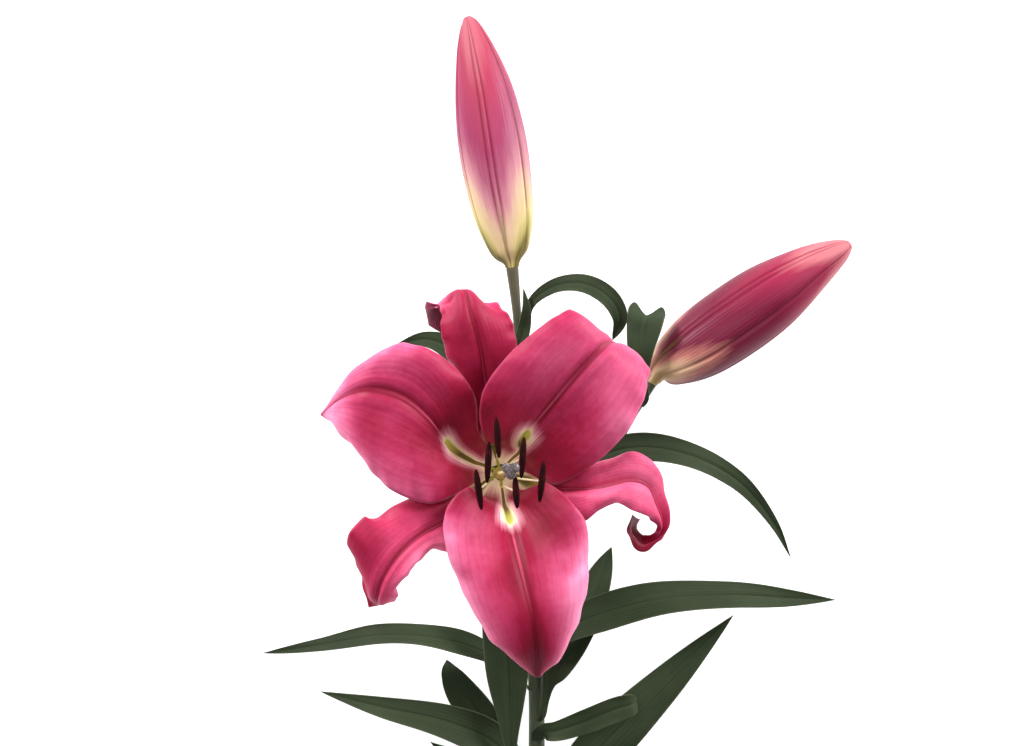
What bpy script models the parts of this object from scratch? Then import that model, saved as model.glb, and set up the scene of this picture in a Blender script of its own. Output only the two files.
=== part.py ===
"""A cut oriental lily lying on its back on a flat surface: one open bloom, two closed buds, leaves and stem.

Units: metres in Blender, and millimetres in every table and size below (MM turns one into the other).
Frame: +Z is up, the stem runs along +Y from its cut end to the top bud, and the bloom faces up.
The origin is the middle of the lily's outline, on the surface that it lies on.

Every leaf and tepal is a grid bent into its waved blade and given a thickness. The bloom's pieces are
measured from the top of its receptacle, where its own +Z is the axis of the bloom.
"""

import math

import bmesh
import bpy
import numpy as np

MM = 0.001
GAP = 0.3  # between two pieces that touch on the real flower
TEPAL_THICKNESS = 0.8
LEAF_THICKNESS = 0.8
TEPAL_QUADS_PER_SPAN = 2  # rows of quads between two stations of a tepal's guides
TEPAL_QUADS_ACROSS = 8
LEAF_GRID = (14, 4)  # quads along and across a leaf
FOOT_SHARE = 0.07  # of a leaf's length that hugs the stem
FREE_SHARE = 0.3  # where the blade has turned to its own roll
FACET_ROOM = 0.2  # keeps a leaf's foot clear of the stem's facets
LEAVE_CLIMB = 3.5  # from the node to where the midrib bends away, along the stem and out from it
LEAVE_OUT = 2.2

BLOOM_BASE = (-25.5, 4.0, 38.0)  # top of the receptacle
RECEPTACLE_RADIUS = 5.9

# Routes of the green parts, from the cut end up: x, y, z and radius.
MAIN_STEM = [
    (-8.0, -209.0, 4.2, 4.3),
    (-8.1, -182.0, 4.2, 4.1),
    (-8.4, -147.0, 4.4, 3.9),
    (-8.7, -122.0, 5.0, 3.7),
    (-8.8, -101.0, 6.2, 3.6),
    (-10.0, -75.0, 8.6, 3.6),
    (-12.8, -37.0, 11.0, 3.3),
    (-15.5, 5.0, 13.5, 2.5),
    (-16.2, 40.0, 16.0, 2.2),
    (-17.6, 72.0, 18.4, 2.0),
    (-20.0, 96.5, 19.6, 2.9),
]
BLOOM_PEDICEL = [
    (-11.2, -58.0, 9.9, 2.0),
    (-15.5, -42.0, 14.5, 2.6),
    (-20.5, -20.0, 20.0, 2.5),
    (-24.6, -2.5, 27.0, 2.6),
    (-25.5, 3.6, 33.5, 3.6),
    (-25.5, 4.0, 37.7, RECEPTACLE_RADIUS),
]
RIGHT_PEDICEL = [
    (-12.5, -42.0, 10.7, 1.8),
    (-6.0, -25.0, 14.5, 2.4),
    (8.5, -5.0, 17.5, 2.3),
    (24.5, 13.0, 18.8, 2.2),
    (36.0, 32.0, 19.0, 2.2),
    (43.0, 44.2, 18.6, 3.0),
]

# Closed buds, past their seat on the pedicel, to the tip: x, y, z and radius.
TOP_BUD = [
    (-20.9, 102.0, 19.2, 7.9),
    (-21.8, 108.5, 18.2, 10.6),
    (-23.4, 119.5, 16.8, 13.4),
    (-26.4, 137.5, 16.0, 15.2),
    (-29.3, 156.0, 15.8, 15.3),
    (-32.6, 176.0, 15.8, 13.1),
    (-36.4, 194.0, 15.8, 8.8),
    (-38.9, 205.0, 16.2, 4.7),
    (-40.6, 209.6, 16.5, 1.4),
]
RIGHT_BUD = [
    (46.0, 48.8, 18.4, 6.2),
    (51.8, 52.2, 17.9, 11.0),
    (64.0, 59.7, 17.2, 15.4),
    (79.9, 70.3, 17.1, 16.8),
    (97.6, 82.6, 16.8, 15.8),
    (115.8, 95.4, 16.2, 10.8),
    (128.4, 103.3, 16.3, 5.7),
    (133.6, 106.6, 16.5, 1.6),
]
BUD_SEAMS = 3  # grooves between the three sepals that wrap a bud
BUD_SIDES = 24
BUD_RINGS = 16
BUD_SEAT = 0.55  # from the pedicel's end to the bud
BUD_NECK = 1.5  # from the pedicel's end to where the bud widens
BUD_NECK_WIDENING = 1.35
SEAM_WIDTH = 0.09  # as a share of the way from one seam to the next
SEAM_DEPTH = 0.1  # as a share of the bud's radius
SEPAL_ROUNDING = 0.03  # how much each sepal of the bud bulges, as a share of its radius

# Tube of the bloom: height above the receptacle and radius, for the outer sepals and the inner petals.
SEPAL_TUBE = [(0.6, 5.2), (12.0, 9.2), (23.0, 13.6)]
PETAL_TUBE = [(0.6, 3.9), (13.0, 7.6), (26.0, 12.4)]
TUBE_HALF_ANGLE = (50.0, 46.0)  # of each tepal, at the receptacle and at the mouth of the tube
OPENING_SHARE = 0.25  # of its length past the mouth, in which a tepal's swell and waves grow
TIP_SHARE = 0.15  # of its length, in which they fade out
WAVE_LAG = 2.1  # between the waves of the two margins, in radians

# Open parts of the six tepals, past the tube, measured from the top of the receptacle. Each has its
# azimuth, the guide curves of its left margin, midrib and right margin seen from its base, how far its
# two halves swell beside the midrib from the mouth of the tube to the tip, and the height and count of the
# waves along its margins.
TEPALS = {
    "petal_upper_left": {
        "azimuth": 155.0, "swell": [2.5], "wave": 1.0, "waves": 4.5,
        "left": [(-17, -7.5, 40), (-29.5, -12, 48), (-44.2, -6.8, 52), (-57.3, 5, 51), (-68.5, 20.2, 44),
                 (-75.5, 24.5, 36)],
        "middle": [(-20.5, 12, 41), (-30.5, 25, 51), (-42, 34, 57), (-56, 37, 57), (-67.5, 33.5, 49),
                   (-77, 26, 38)],
        "right": [(-9, 18.5, 43), (-11, 36, 50), (-25, 51.5, 55), (-41.3, 55.8, 55), (-57.8, 47.2, 50),
                  (-76.8, 26, 38)],
    },
    "petal_upper_right": {
        "azimuth": 48.0, "swell": [2.5, 2.5, 2.0, 0.0], "wave": 1.0, "waves": 4.0,
        "left": [(-6, 15.5, 48), (-8, 33.5, 58), (2, 49.5, 62), (19, 64.5, 62), (30.8, 70, 57.5),
                 (36.5, 61.5, 51), (45, 55, 39)],
        "middle": [(10, 15, 42), (21, 29, 53), (32, 42.5, 60), (41, 52, 62), (46.5, 57, 58), (50, 57, 48),
                   (48.5, 52, 38)],
        "right": [(24.5, -4, 40), (40.5, 5, 50), (53.5, 18, 56), (62, 33.5, 57), (63.5, 43.5, 52),
                  (59.5, 51, 44), (51.5, 53, 38)],
    },
    "petal_bottom": {
        "azimuth": 279.0, "swell": [2.5], "wave": 1.0, "waves": 4.0,
        "left": [(21, -3.5, 49), (35.5, -16.5, 56), (38, -33.5, 59), (36, -52.5, 58), (29, -74, 53),
                 (18.3, -85.2, 47)],
        "middle": [(3.5, -16, 42), (7, -29.5, 54), (10.5, -43.5, 61), (14, -58.5, 63), (16, -73, 58),
                   (16.4, -86.2, 48)],
        "right": [(-14, -5, 49), (-23.5, -17, 56), (-21, -35.5, 59), (-11.5, -56.5, 58), (2, -75, 53),
                  (13.8, -85.2, 47)],
    },
    "sepal_top": {
        "azimuth": 100.0, "swell": [2.0, 2.5, 0.5, -4.0, -3.0], "wave": 0.8, "waves": 3.0,
        "left": [(-12, 14, 31), (-16, 37.5, 40), (-23, 53, 46), (-24.5, 65, 48), (-26, 73, 43),
                 (-32, 74, 31), (-31, 65, 20)],
        "middle": [(-2.5, 18.5, 31), (-5.5, 36, 42), (-8, 54, 50), (-12, 69, 52), (-15.3, 80, 46),
                   (-23, 74.5, 33), (-27.5, 63, 22)],
        "right": [(6, 17.5, 30), (6.5, 39, 41), (7.5, 56.5, 47), (5, 67, 48), (-2.5, 73.5, 43),
                  (-12, 73, 34), (-22.5, 60, 23)],
    },
    "sepal_lower_left": {
        "azimuth": 217.0, "swell": [2.0, 2.5, 1.0, -1.5], "wave": 1.5, "waves": 4.5,
        "left": [(-8.5, -19, 32), (-19, -32, 42), (-29.5, -32, 49), (-37, -39.5, 52), (-43, -47, 49),
                 (-45.5, -53.5, 42), (-49, -55.5, 33)],
        "middle": [(-14, -14, 32), (-23.5, -20, 42), (-35, -26.5, 49), (-44, -35, 51), (-50, -44.5, 49),
                   (-53, -54, 43), (-52.5, -56.5, 33)],
        "right": [(-20, -5.5, 31), (-31.5, -7, 39), (-51, -17, 44), (-58.5, -18, 49), (-65.3, -29.5, 46),
                  (-59.5, -44, 42), (-56.5, -57.5, 36)],
    },
    "sepal_lower_right": {
        "azimuth": 344.0, "swell": [1.8], "wave": 0.7, "waves": 4.0,
        "left": [(17, 3.5, 30), (30.5, 3.5, 36), (45, 6.5, 43), (58, 10, 47), (67.5, 4, 44), (71, -6.5, 38),
                 (72.5, -19.5, 35), (69.5, -29, 38), (61, -32.5, 41), (55, -25, 42), (57.5, -17, 41)],
        "middle": [(17, -4.5, 30), (29, -6, 38), (42.5, -5, 45), (56, -2, 49), (64, -4.5, 46),
                   (67.5, -11.5, 42), (70.5, -21, 37), (68, -28, 37), (61.5, -30.5, 36), (57, -24.5, 36),
                   (59, -18.5, 36)],
        "right": [(15, -11, 30), (34, -20, 40), (43.5, -14.5, 46), (50, -11.5, 49), (57.5, -15, 49),
                  (64, -18, 46), (68, -22, 39), (66.5, -26, 35), (62.5, -28, 31), (59.5, -24, 30),
                  (61, -19.5, 31)],
    },
}

# Anthers: centre measured from the receptacle, azimuth of the tepal behind it, turn of its long axis away
# from +Y, and length.
ANTHERS = [
    ((-0.5, 17.0, 75.0), 100.0, 4.0, 17.5),
    ((-4.5, 6.5, 74.0), 155.0, -3.0, 17.5),
    ((-8.5, -5.0, 73.0), 217.0, 8.0, 17.5),
    ((10.0, 8.5, 76.0), 48.0, -4.0, 17.5),
    ((7.2, -6.0, 72.0), 279.0, 4.0, 14.0),
    ((18.0, -1.5, 74.0), 344.0, -6.0, 17.5),
]
ANTHER_WIDTH = 2.9
ANTHER_HEIGHT = 2.6
ANTHER_DROOP = 0.8  # of its two ends
ANTHER_BLUNTNESS = 2.2  # 2 makes its outline an ellipse
ANTHER_END = 0.35  # least width at its ends, as a share
ANTHER_FURROW = 0.22  # as a share of its height
FILAMENT_RADIUS = 0.6
FILAMENT_BOW = 0.12  # how far it bows towards the axis, as a share of its reach
FILAMENT_RING = 2.45  # radius of the ring of filaments round the pistil's foot
FILAMENT_WAIST = [(8.0, 4.3), (15.0, 5.2), (24.0, 5.8)]  # height and distance from the axis
STYLE = [  # x, y, height and radius: foot, ovary, then the style that leans a little
    (0.0, 0.0, 0.3, 1.2),
    (0.0, 0.0, 5.0, 1.5),
    (0.0, 0.0, 9.0, 2.5),
    (0.0, 0.0, 19.0, 2.7),
    (0.1, 0.0, 24.0, 1.5),
    (0.6, 0.4, 38.0, 1.2),
    (2.4, 1.6, 58.0, 1.1),
    (4.7, 3.3, 78.2, 1.3),
]
CARPELS = 3  # ribs of the ovary and lobes of the stigma
OVARY_SPAN = (0.1, 0.6)  # where the ribs run, as shares of the pistil
OVARY_RIB = 0.08
STIGMA_LOBE = 0.14
STIGMA_TURN = 0.5  # radians
STIGMA_CENTRE = (5.0, 3.5, 80.2)
STIGMA_RADIUS = 3.5
STIGMA_HEIGHT = 3.4

# Leaves. Each has its node: how far along the main stem from the cut end, and on which side, with 0 at +X
# and 90 on top. Then its half width, its width at the node and its widest place as shares, and its midrib
# past the node as x, y, z and roll. Roll turns the blade about its midrib: at 0 it lies level. Some have a
# stalk, the share of the length that stays narrow, or a taper of their own.
LEAVES = {
    "leaf_01": {
        "node": 113, "side": 158, "half": 6.8, "base": 0.3, "widest": 0.48, "stalk": 0.15,
        "midrib": [(-30, -80, 15.5, -40), (-52.5, -72.2, 20, -45), (-79.5, -70.8, 18.5, -45),
                   (-107.5, -76, 9.5, -35), (-134.5, -80.5, 1.3, 0)],
    },
    "leaf_02": {
        "node": 66, "side": 160, "half": 8.8, "base": 0.28, "widest": 0.5,
        "midrib": [(-22, -127, 8, -12), (-33, -117.5, 11.5, -14), (-52.5, -109.5, 15, -15),
                   (-80, -103.8, 12.5, -15), (-108, -98, 1.3, 0)],
    },
    "leaf_03": {
        "node": 54, "side": 130, "half": 10.0, "base": 0.18, "widest": 0.72, "stalk": 0.36,
        "midrib": [(-18, -138, 12, -10), (-20.5, -122.5, 15.5, -8), (-21.6, -101, 19, -8),
                   (-22.8, -81.5, 23, -8), (-26.6, -58.5, 26, -10), (-31.5, -36.5, 24, -10)],
    },
    "leaf_04": {
        "node": 56, "side": 186, "half": 7.9, "base": 0.28, "widest": 0.55,
        "midrib": [(-21, -130, 4, 2), (-32, -112, 5.2, 6), (-43, -97, 7.5, 8), (-48, -89, 6.5, 5),
                   (-50, -83, 3, 0)],
    },
    "leaf_05": {
        "node": 99, "side": 60, "half": 8.2, "base": 0.2, "widest": 0.58, "stalk": 0.18, "taper": 2.6,
        "midrib": [(-3.4, -94, 12.5, 10), (0.2, -86.5, 13.5, 12), (7.2, -73, 14.5, 15), (14.2, -58.5, 13.5, 12),
                   (20.3, -44, 9, 8), (25.6, -31.5, 4, 0)],
    },
    "leaf_06": {
        "node": 126, "side": 85, "half": 9.0, "base": 0.28, "widest": 0.52, "stalk": 0.1,
        "midrib": [(-4.5, -74, 19, 28), (4, -68, 23, 32), (19.5, -61, 26, 32), (46.5, -54, 27.5, 32),
                   (78.5, -52.5, 21, 28), (106.5, -54.5, 10.5, 10), (128.5, -56, 1.3, 0)],
    },
    "leaf_07": {
        "node": 50, "side": 5, "half": 11.4, "base": 0.2, "widest": 0.5,
        "midrib": [(6, -141.5, 7, 10), (19, -125, 10, 12), (38.5, -104.5, 12, 12), (60, -83.5, 8, 8),
                   (81.5, -63, 1.3, 0)],
    },
    "leaf_08": {
        "node": 90, "side": 66, "half": 5.5, "base": 0.64, "widest": 0.6, "taper": 4.0,
        "midrib": [(1, -114.3, 15, 12), (13, -109.4, 22, 12), (24.5, -104, 27, 6), (33, -101, 28, 0),
                   (36.8, -100.4, 24, 0)],
    },
    "leaf_09": {
        "node": 34, "side": 180, "half": 6.5, "base": 0.24, "widest": 0.45,
        "midrib": [(-23.5, -165, 5.5, -6), (-43.5, -132, 6, -8), (-57.5, -121, 1.3, 0)],
    },
    "leaf_10": {
        "node": 268, "side": 35, "half": 4.4, "base": 0.28, "widest": 0.6, "stalk": 0.14, "taper": 3.2,
        "midrib": [(-12, 78, 25, 20), (-1.5, 86.5, 31, 25), (11.5, 87.8, 37, 20), (22.6, 82, 39, 10),
                   (28.2, 72.5, 36, 0), (25, 62.5, 29, 0)],
    },
    "leaf_11": {
        "node": 263, "side": 105, "half": 3.0, "base": 0.5, "widest": 0.4,
        "midrib": [(-14.6, 68, 24, 0), (-13.6, 77, 27.5, 0), (-14.8, 86, 28, 0)],
    },
    "leaf_12": {
        "node": 216, "side": 150, "half": 6.5, "base": 0.32, "widest": 0.45,
        "midrib": [(-30, 41, 22, -10), (-45, 57, 28, -15), (-58.5, 63, 28, -15), (-74, 60, 22, 0)],
    },
    "leaf_13": {
        "node": 184, "side": 15, "half": 6.6, "base": 0.32, "widest": 0.45,
        "midrib": [(0, -4.5, 21, 10), (15, 8, 29, 15), (28.5, 13.5, 34, 18), (42.5, 14.5, 36, 20),
                   (58, 11.5, 34, 20), (73, 5, 30, 18), (86.5, -5, 22, 12), (99.5, -21, 11, 5),
                   (108, -37, 1.3, 0)],
    },
    "leaf_14": {
        "node": 22, "side": 8, "half": 7.6, "base": 0.3, "widest": 0.45,
        "midrib": [(7, -180, 6, 10), (36, -169, 9, 12), (62, -167, 5.5, 8), (84, -169, 1.3, 0)],
    },
    "leaf_15": {
        "node": 14, "side": 172, "half": 7.2, "base": 0.3, "widest": 0.45,
        "midrib": [(-25, -187, 6, -10), (-54, -177, 8.5, -12), (-78, -176, 5, -8), (-96, -179, 1.3, 0)],
    },
}
CHANNEL = 0.22  # how far a leaf's margins rise, as a share of its half width
LEAF_WAVE = 0.09  # height of the waves along its margins, as a share of its half width
LEAF_WAVES = 3.2
LEAF_WAVE_LAG = 2.4  # between the waves of its two margins, in radians
LEAF_TAPER = 1.8  # 1 would taper straight from its widest place to its tip
LEAF_TIP = 0.07  # width at the tip, as a share of its half width

# The forked bract on the right bud's pedicel: it climbs, then its notched end bends down.
BRACT = {
    "node": 92, "side": 85, "half": 8.4, "base": 0.3, "widest": 0.9, "stalk": 0.25, "up": (0.0, 0.5, 0.87),
    "midrib": [(37.6, 46, 27.5, 0), (37.6, 58, 32.5, 0), (39.4, 69.5, 31, 0), (41.0, 76, 24, 0)],
    "notch": 6.0,  # depth
}
BRACT_GRID = (14, 6)
NOTCH_START = 0.7  # as a share of the bract's length
NOTCH_LEVEL = 0.5  # share of the notch's depth that is cut back, the rest being drawn out into the lobes
LOBE_PLACE = 0.72  # where each of the two lobes ends, as a share of the half width


def curve_at(points, share):
    """Points of a smooth curve through the given ones, at shares of its way from 0 to 1."""
    points = np.asarray(points, float)
    run_in = 2 * points[0] - points[1]
    run_out = 2 * points[-1] - points[-2]
    padded = np.vstack([run_in, points, run_out])
    spans = len(points) - 1
    place = np.clip(np.asarray(share, float) * spans, 0.0, spans - 1e-9)
    first = place.astype(int)
    t = (place - first)[:, None]
    a, b, c, d = (padded[first + k] for k in range(4))
    return b + 0.5 * t * (c - a + t * (2 * a - 5 * b + 4 * c - d + t * (3 * (b - c) + d - a)))


def unit(vectors):
    return vectors / np.linalg.norm(vectors, axis=-1, keepdims=True)


def smoothstep(x):
    x = np.clip(x, 0.0, 1.0)
    return x * x * (3.0 - 2.0 * x)


def add_material(name, colour, roughness):
    made = bpy.data.materials.new(name)
    made.use_nodes = True
    shader = made.node_tree.nodes["Principled BSDF"]
    shader.inputs["Base Color"].default_value = (*colour, 1.0)
    shader.inputs["Roughness"].default_value = roughness
    shader.inputs["Metallic"].default_value = 0.0
    return made


def add_object(name, bm, material, parent=None):
    """Turns the bmesh, in millimetres, into an object in metres."""
    for vert in bm.verts:
        vert.co *= MM
    mesh = bpy.data.meshes.new(name)
    bm.to_mesh(mesh)
    bm.free()
    mesh.materials.append(material)
    mesh.shade_smooth()
    obj = bpy.data.objects.new(name, mesh)
    obj.parent = parent
    bpy.context.scene.collection.objects.link(obj)
    return obj


def add_blade(name, surface, grid, thickness, material, parent=None):
    """A thin blade: a grid bent to surface(u, v), with u from 0 to 1 along it and v from -1 to 1 across."""
    bm = bmesh.new()
    bmesh.ops.create_grid(bm, x_segments=grid[0], y_segments=grid[1], size=1.0)
    bmesh.ops.triangulate(bm, faces=bm.faces)  # before it is thickened, so that both faces split alike
    u = np.array([(vert.co.x + 1.0) / 2.0 for vert in bm.verts])
    v = np.array([vert.co.y for vert in bm.verts])
    for vert, point in zip(bm.verts, surface(u, v)):
        vert.co = point
    obj = add_object(name, bm, material, parent)
    solidify = obj.modifiers.new("thickness", "SOLIDIFY")
    solidify.thickness = thickness * MM
    solidify.offset = 0.0
    solidify.use_even_offset = False
    return obj


def add_tube(name, rings, material, parent=None):
    """A closed solid skinned over rings of points, each ring given as an array of the same length."""
    bm = bmesh.new()
    loops = [[bm.verts.new(point) for point in ring] for ring in rings]
    sides = len(loops[0])
    for lower, upper in zip(loops, loops[1:]):
        for k in range(sides):
            following = (k + 1) % sides
            bm.faces.new((lower[k], lower[following], upper[following], upper[k]))
    bm.faces.new(loops[0][::-1])
    bm.faces.new(loops[-1])
    bmesh.ops.recalc_face_normals(bm, faces=bm.faces)
    return add_object(name, bm, material, parent)


def rings_along(route, count, sides, shape=None, first_side=0.0):
    """Rings round a route of x, y, z and radius. shape(angles, share) scales the radius round each ring."""
    share = np.linspace(0.0, 1.0, count)
    path = curve_at(route, share)
    centres = path[:, :3]
    directions = unit(np.gradient(centres, axis=0))
    angles = math.radians(first_side) + np.arange(sides) * 2.0 * math.pi / sides
    reference = np.array([0.0, 0.0, 1.0]) if abs(directions[0][2]) < 0.9 else np.array([0.0, 1.0, 0.0])
    across = np.cross(directions[0], reference)
    rings = []
    for k in range(count):
        across = unit(across - directions[k] * np.dot(across, directions[k]))
        up = np.cross(across, directions[k])
        scale = 1.0 if shape is None else shape(angles, share[k])
        radius = (path[k, 3] * scale * np.ones(sides))[:, None]
        rings.append(centres[k] + radius * (np.cos(angles)[:, None] * across + np.sin(angles)[:, None] * up))
    return rings


def unite(target, others):
    """Joins the others into target with Boolean unions and removes them."""
    for other in others:
        union = target.modifiers.new("union", "BOOLEAN")
        union.operation = "UNION"
        union.solver = "EXACT"
        union.object = other
    bpy.context.view_layer.update()
    graph = bpy.context.evaluated_depsgraph_get()
    joined = bpy.data.meshes.new_from_object(target.evaluated_get(graph))
    target.modifiers.clear()
    target.data = joined
    for other in others:
        bpy.data.objects.remove(other)


def make_stem(material):
    """Main stem with its level underside at the cut end, and the two side pedicels grown from it."""
    sides = 12
    stem = add_tube("stem", rings_along(MAIN_STEM, 30, sides, first_side=180.0 / sides), material)
    bloom_pedicel = add_tube("bloom_pedicel", rings_along(BLOOM_PEDICEL, 14, 10), material)
    right_pedicel = add_tube("right_pedicel", rings_along(RIGHT_PEDICEL, 14, 10), material)
    unite(stem, [bloom_pedicel, right_pedicel])


def make_bud(name, pedicel, route, seam_turn, material):
    """A closed bud, seated on its pedicel's end, with a groove along each seam between its sepals."""
    end = np.array(pedicel[-1][:3])
    climb = unit(end - np.array(pedicel[-2][:3]))
    radius = pedicel[-1][3]
    seat = [(*(end + climb * BUD_SEAT), radius), (*(end + climb * BUD_NECK), radius * BUD_NECK_WIDENING)]

    def seamed(angles, share):
        nearest = np.mod((angles - seam_turn) * BUD_SEAMS / (2.0 * math.pi) + 0.5, 1.0) - 0.5
        groove = SEAM_DEPTH * np.exp(-((nearest / SEAM_WIDTH) ** 2)) * math.sin(math.pi * share)
        return 1.0 - SEPAL_ROUNDING * np.cos(2.0 * math.pi * nearest) - groove

    add_tube(name, rings_along(seat + route, BUD_RINGS, BUD_SIDES, seamed), material)


def tepal_guides(tepal, tube):
    """Left, middle and right guide curves of a tepal, from the receptacle to its tip."""
    guides = {"left": [], "middle": [], "right": []}
    for k, (height, radius) in enumerate(tube):
        share = k / (len(tube) - 1)
        half = TUBE_HALF_ANGLE[0] + (TUBE_HALF_ANGLE[1] - TUBE_HALF_ANGLE[0]) * share
        for side, turn in (("left", half), ("middle", 0.0), ("right", -half)):
            angle = math.radians(tepal["azimuth"] + turn)
            guides[side].append((radius * math.cos(angle), radius * math.sin(angle), height))
    return [guides[side] + tepal[side] for side in ("left", "middle", "right")]


def tepal_surface(tepal, tube):
    left_guide, middle_guide, right_guide = tepal_guides(tepal, tube)
    mouth = (len(tube) - 1) / (len(middle_guide) - 1)

    def plain(u, v):
        left = curve_at(left_guide, u)
        middle = curve_at(middle_guide, u)
        right = curve_at(right_guide, u)
        v = v[:, None]
        return middle + v * (right - left) / 2.0 + v * v * ((right + left) / 2.0 - middle)

    def surface(u, v):
        step = 0.01
        along = plain(u + step, v) - plain(u - step, v)
        across = plain(u, v + step) - plain(u, v - step)
        normal = unit(np.cross(across, along))
        opened = smoothstep((u - mouth) / OPENING_SHARE) * smoothstep((1.0 - u) / TIP_SHARE)
        stations = np.linspace(mouth, 1.0, len(tepal["swell"]))
        swell = np.interp(u, stations, tepal["swell"]) * 4.0 * (v**2 - v**4)
        phase = 2.0 * math.pi * tepal["waves"] * u + np.where(v > 0, 0.0, WAVE_LAG)
        wave = tepal["wave"] * np.abs(v) ** 3 * np.sin(phase)
        return plain(u, v) + normal * ((swell + wave) * opened)[:, None]

    return surface


def make_bloom(bloom, petal_material, filament_material, anther_material, pistil_material, stigma_material):
    for name, tepal in TEPALS.items():
        tube = PETAL_TUBE if name.startswith("petal") else SEPAL_TUBE
        spans = len(tube) + len(tepal["middle"]) - 1
        grid = (TEPAL_QUADS_PER_SPAN * spans, TEPAL_QUADS_ACROSS)
        add_blade(name, tepal_surface(tepal, tube), grid, TEPAL_THICKNESS, petal_material, bloom)
    for number, (centre, azimuth, turn, length) in enumerate(ANTHERS, start=1):
        add_filament(f"filament_{number}", np.array(centre), azimuth, bloom, filament_material)
        add_anther(f"anther_{number}", np.array(centre), turn, length, bloom, anther_material)
    add_pistil(bloom, pistil_material)
    add_stigma(bloom, stigma_material)


def add_filament(name, centre, azimuth, bloom, material):
    """A filament from the ring round the pistil's foot to just under its anther."""
    angle = math.radians(azimuth)
    outward = np.array([math.cos(angle), math.sin(angle), 0.0])
    foot = outward * FILAMENT_RING + (0.0, 0.0, GAP)
    waist = [outward * distance + (0.0, 0.0, height) for height, distance in FILAMENT_WAIST]
    top = centre - (0.0, 0.0, ANTHER_HEIGHT / 2.0 + GAP)
    bend = (waist[-1] + top) / 2.0 - FILAMENT_BOW * top * (1.0, 1.0, 0.0)
    route = [(*point, FILAMENT_RADIUS) for point in (foot, *waist, bend, top)]
    add_tube(name, rings_along(route, 14, 6), material, bloom)


def add_anther(name, centre, turn, length, bloom, material):
    """An anther that balances on its filament, with both ends drooping and a furrow along its top."""
    lean = math.radians(90.0 + turn)
    direction = np.array([math.cos(lean), math.sin(lean), 0.0])
    spine = []
    for s in np.linspace(-1.0, 1.0, 7):
        place = centre + direction * s * length / 2.0 - (0.0, 0.0, ANTHER_DROOP * s * s)
        width = math.sqrt(1.0 - abs(s) ** ANTHER_BLUNTNESS)
        spine.append((*place, max(ANTHER_END, width)))

    def lobed(angles, share):
        furrow = 1.0 - ANTHER_FURROW * (np.abs(np.cos(angles)) < 0.35)
        return np.hypot(ANTHER_WIDTH / 2.0 * np.cos(angles), ANTHER_HEIGHT / 2.0 * np.sin(angles) * furrow)

    add_tube(name, rings_along(spine, 11, 10, lobed), material, bloom)


def add_pistil(bloom, material):
    """The ovary with its ribs, and the style above it."""

    def ribbed(angles, share):
        return 1.0 + OVARY_RIB * np.cos(CARPELS * angles) * (OVARY_SPAN[0] < share < OVARY_SPAN[1])

    add_tube("pistil", rings_along(STYLE, 20, 12, ribbed), material, bloom)


def add_stigma(bloom, material):
    """A three-lobed cushion on the style."""
    x, y, z = STIGMA_CENTRE
    profile = [(-0.5, 0.35), (-0.42, 0.62), (-0.1, 0.95), (0.2, 1.0), (0.42, 0.8), (0.5, 0.4)]
    route = [(x, y, z + STIGMA_HEIGHT * h, STIGMA_RADIUS * r) for h, r in profile]

    def lobed(angles, share):
        return 1.0 + STIGMA_LOBE * np.cos(CARPELS * (angles - STIGMA_TURN))

    add_tube("stigma", rings_along(route, 8, 18, lobed), material, bloom)


def route_at(route, distance):
    """Point, radius and direction of a route at a distance along it from its lower end."""
    share = np.linspace(0.0, 1.0, 600)
    path = curve_at(route, share)
    steps = np.linalg.norm(np.diff(path[:, :3], axis=0), axis=1)
    run = np.concatenate([[0.0], np.cumsum(steps)])
    point = np.array([np.interp(distance, run, path[:, k]) for k in range(4)])
    ahead = np.array([np.interp(distance + 1.0, run, path[:, k]) for k in range(3)])
    behind = np.array([np.interp(distance - 1.0, run, path[:, k]) for k in range(3)])
    return point[:3], point[3], unit(ahead - behind)


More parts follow.
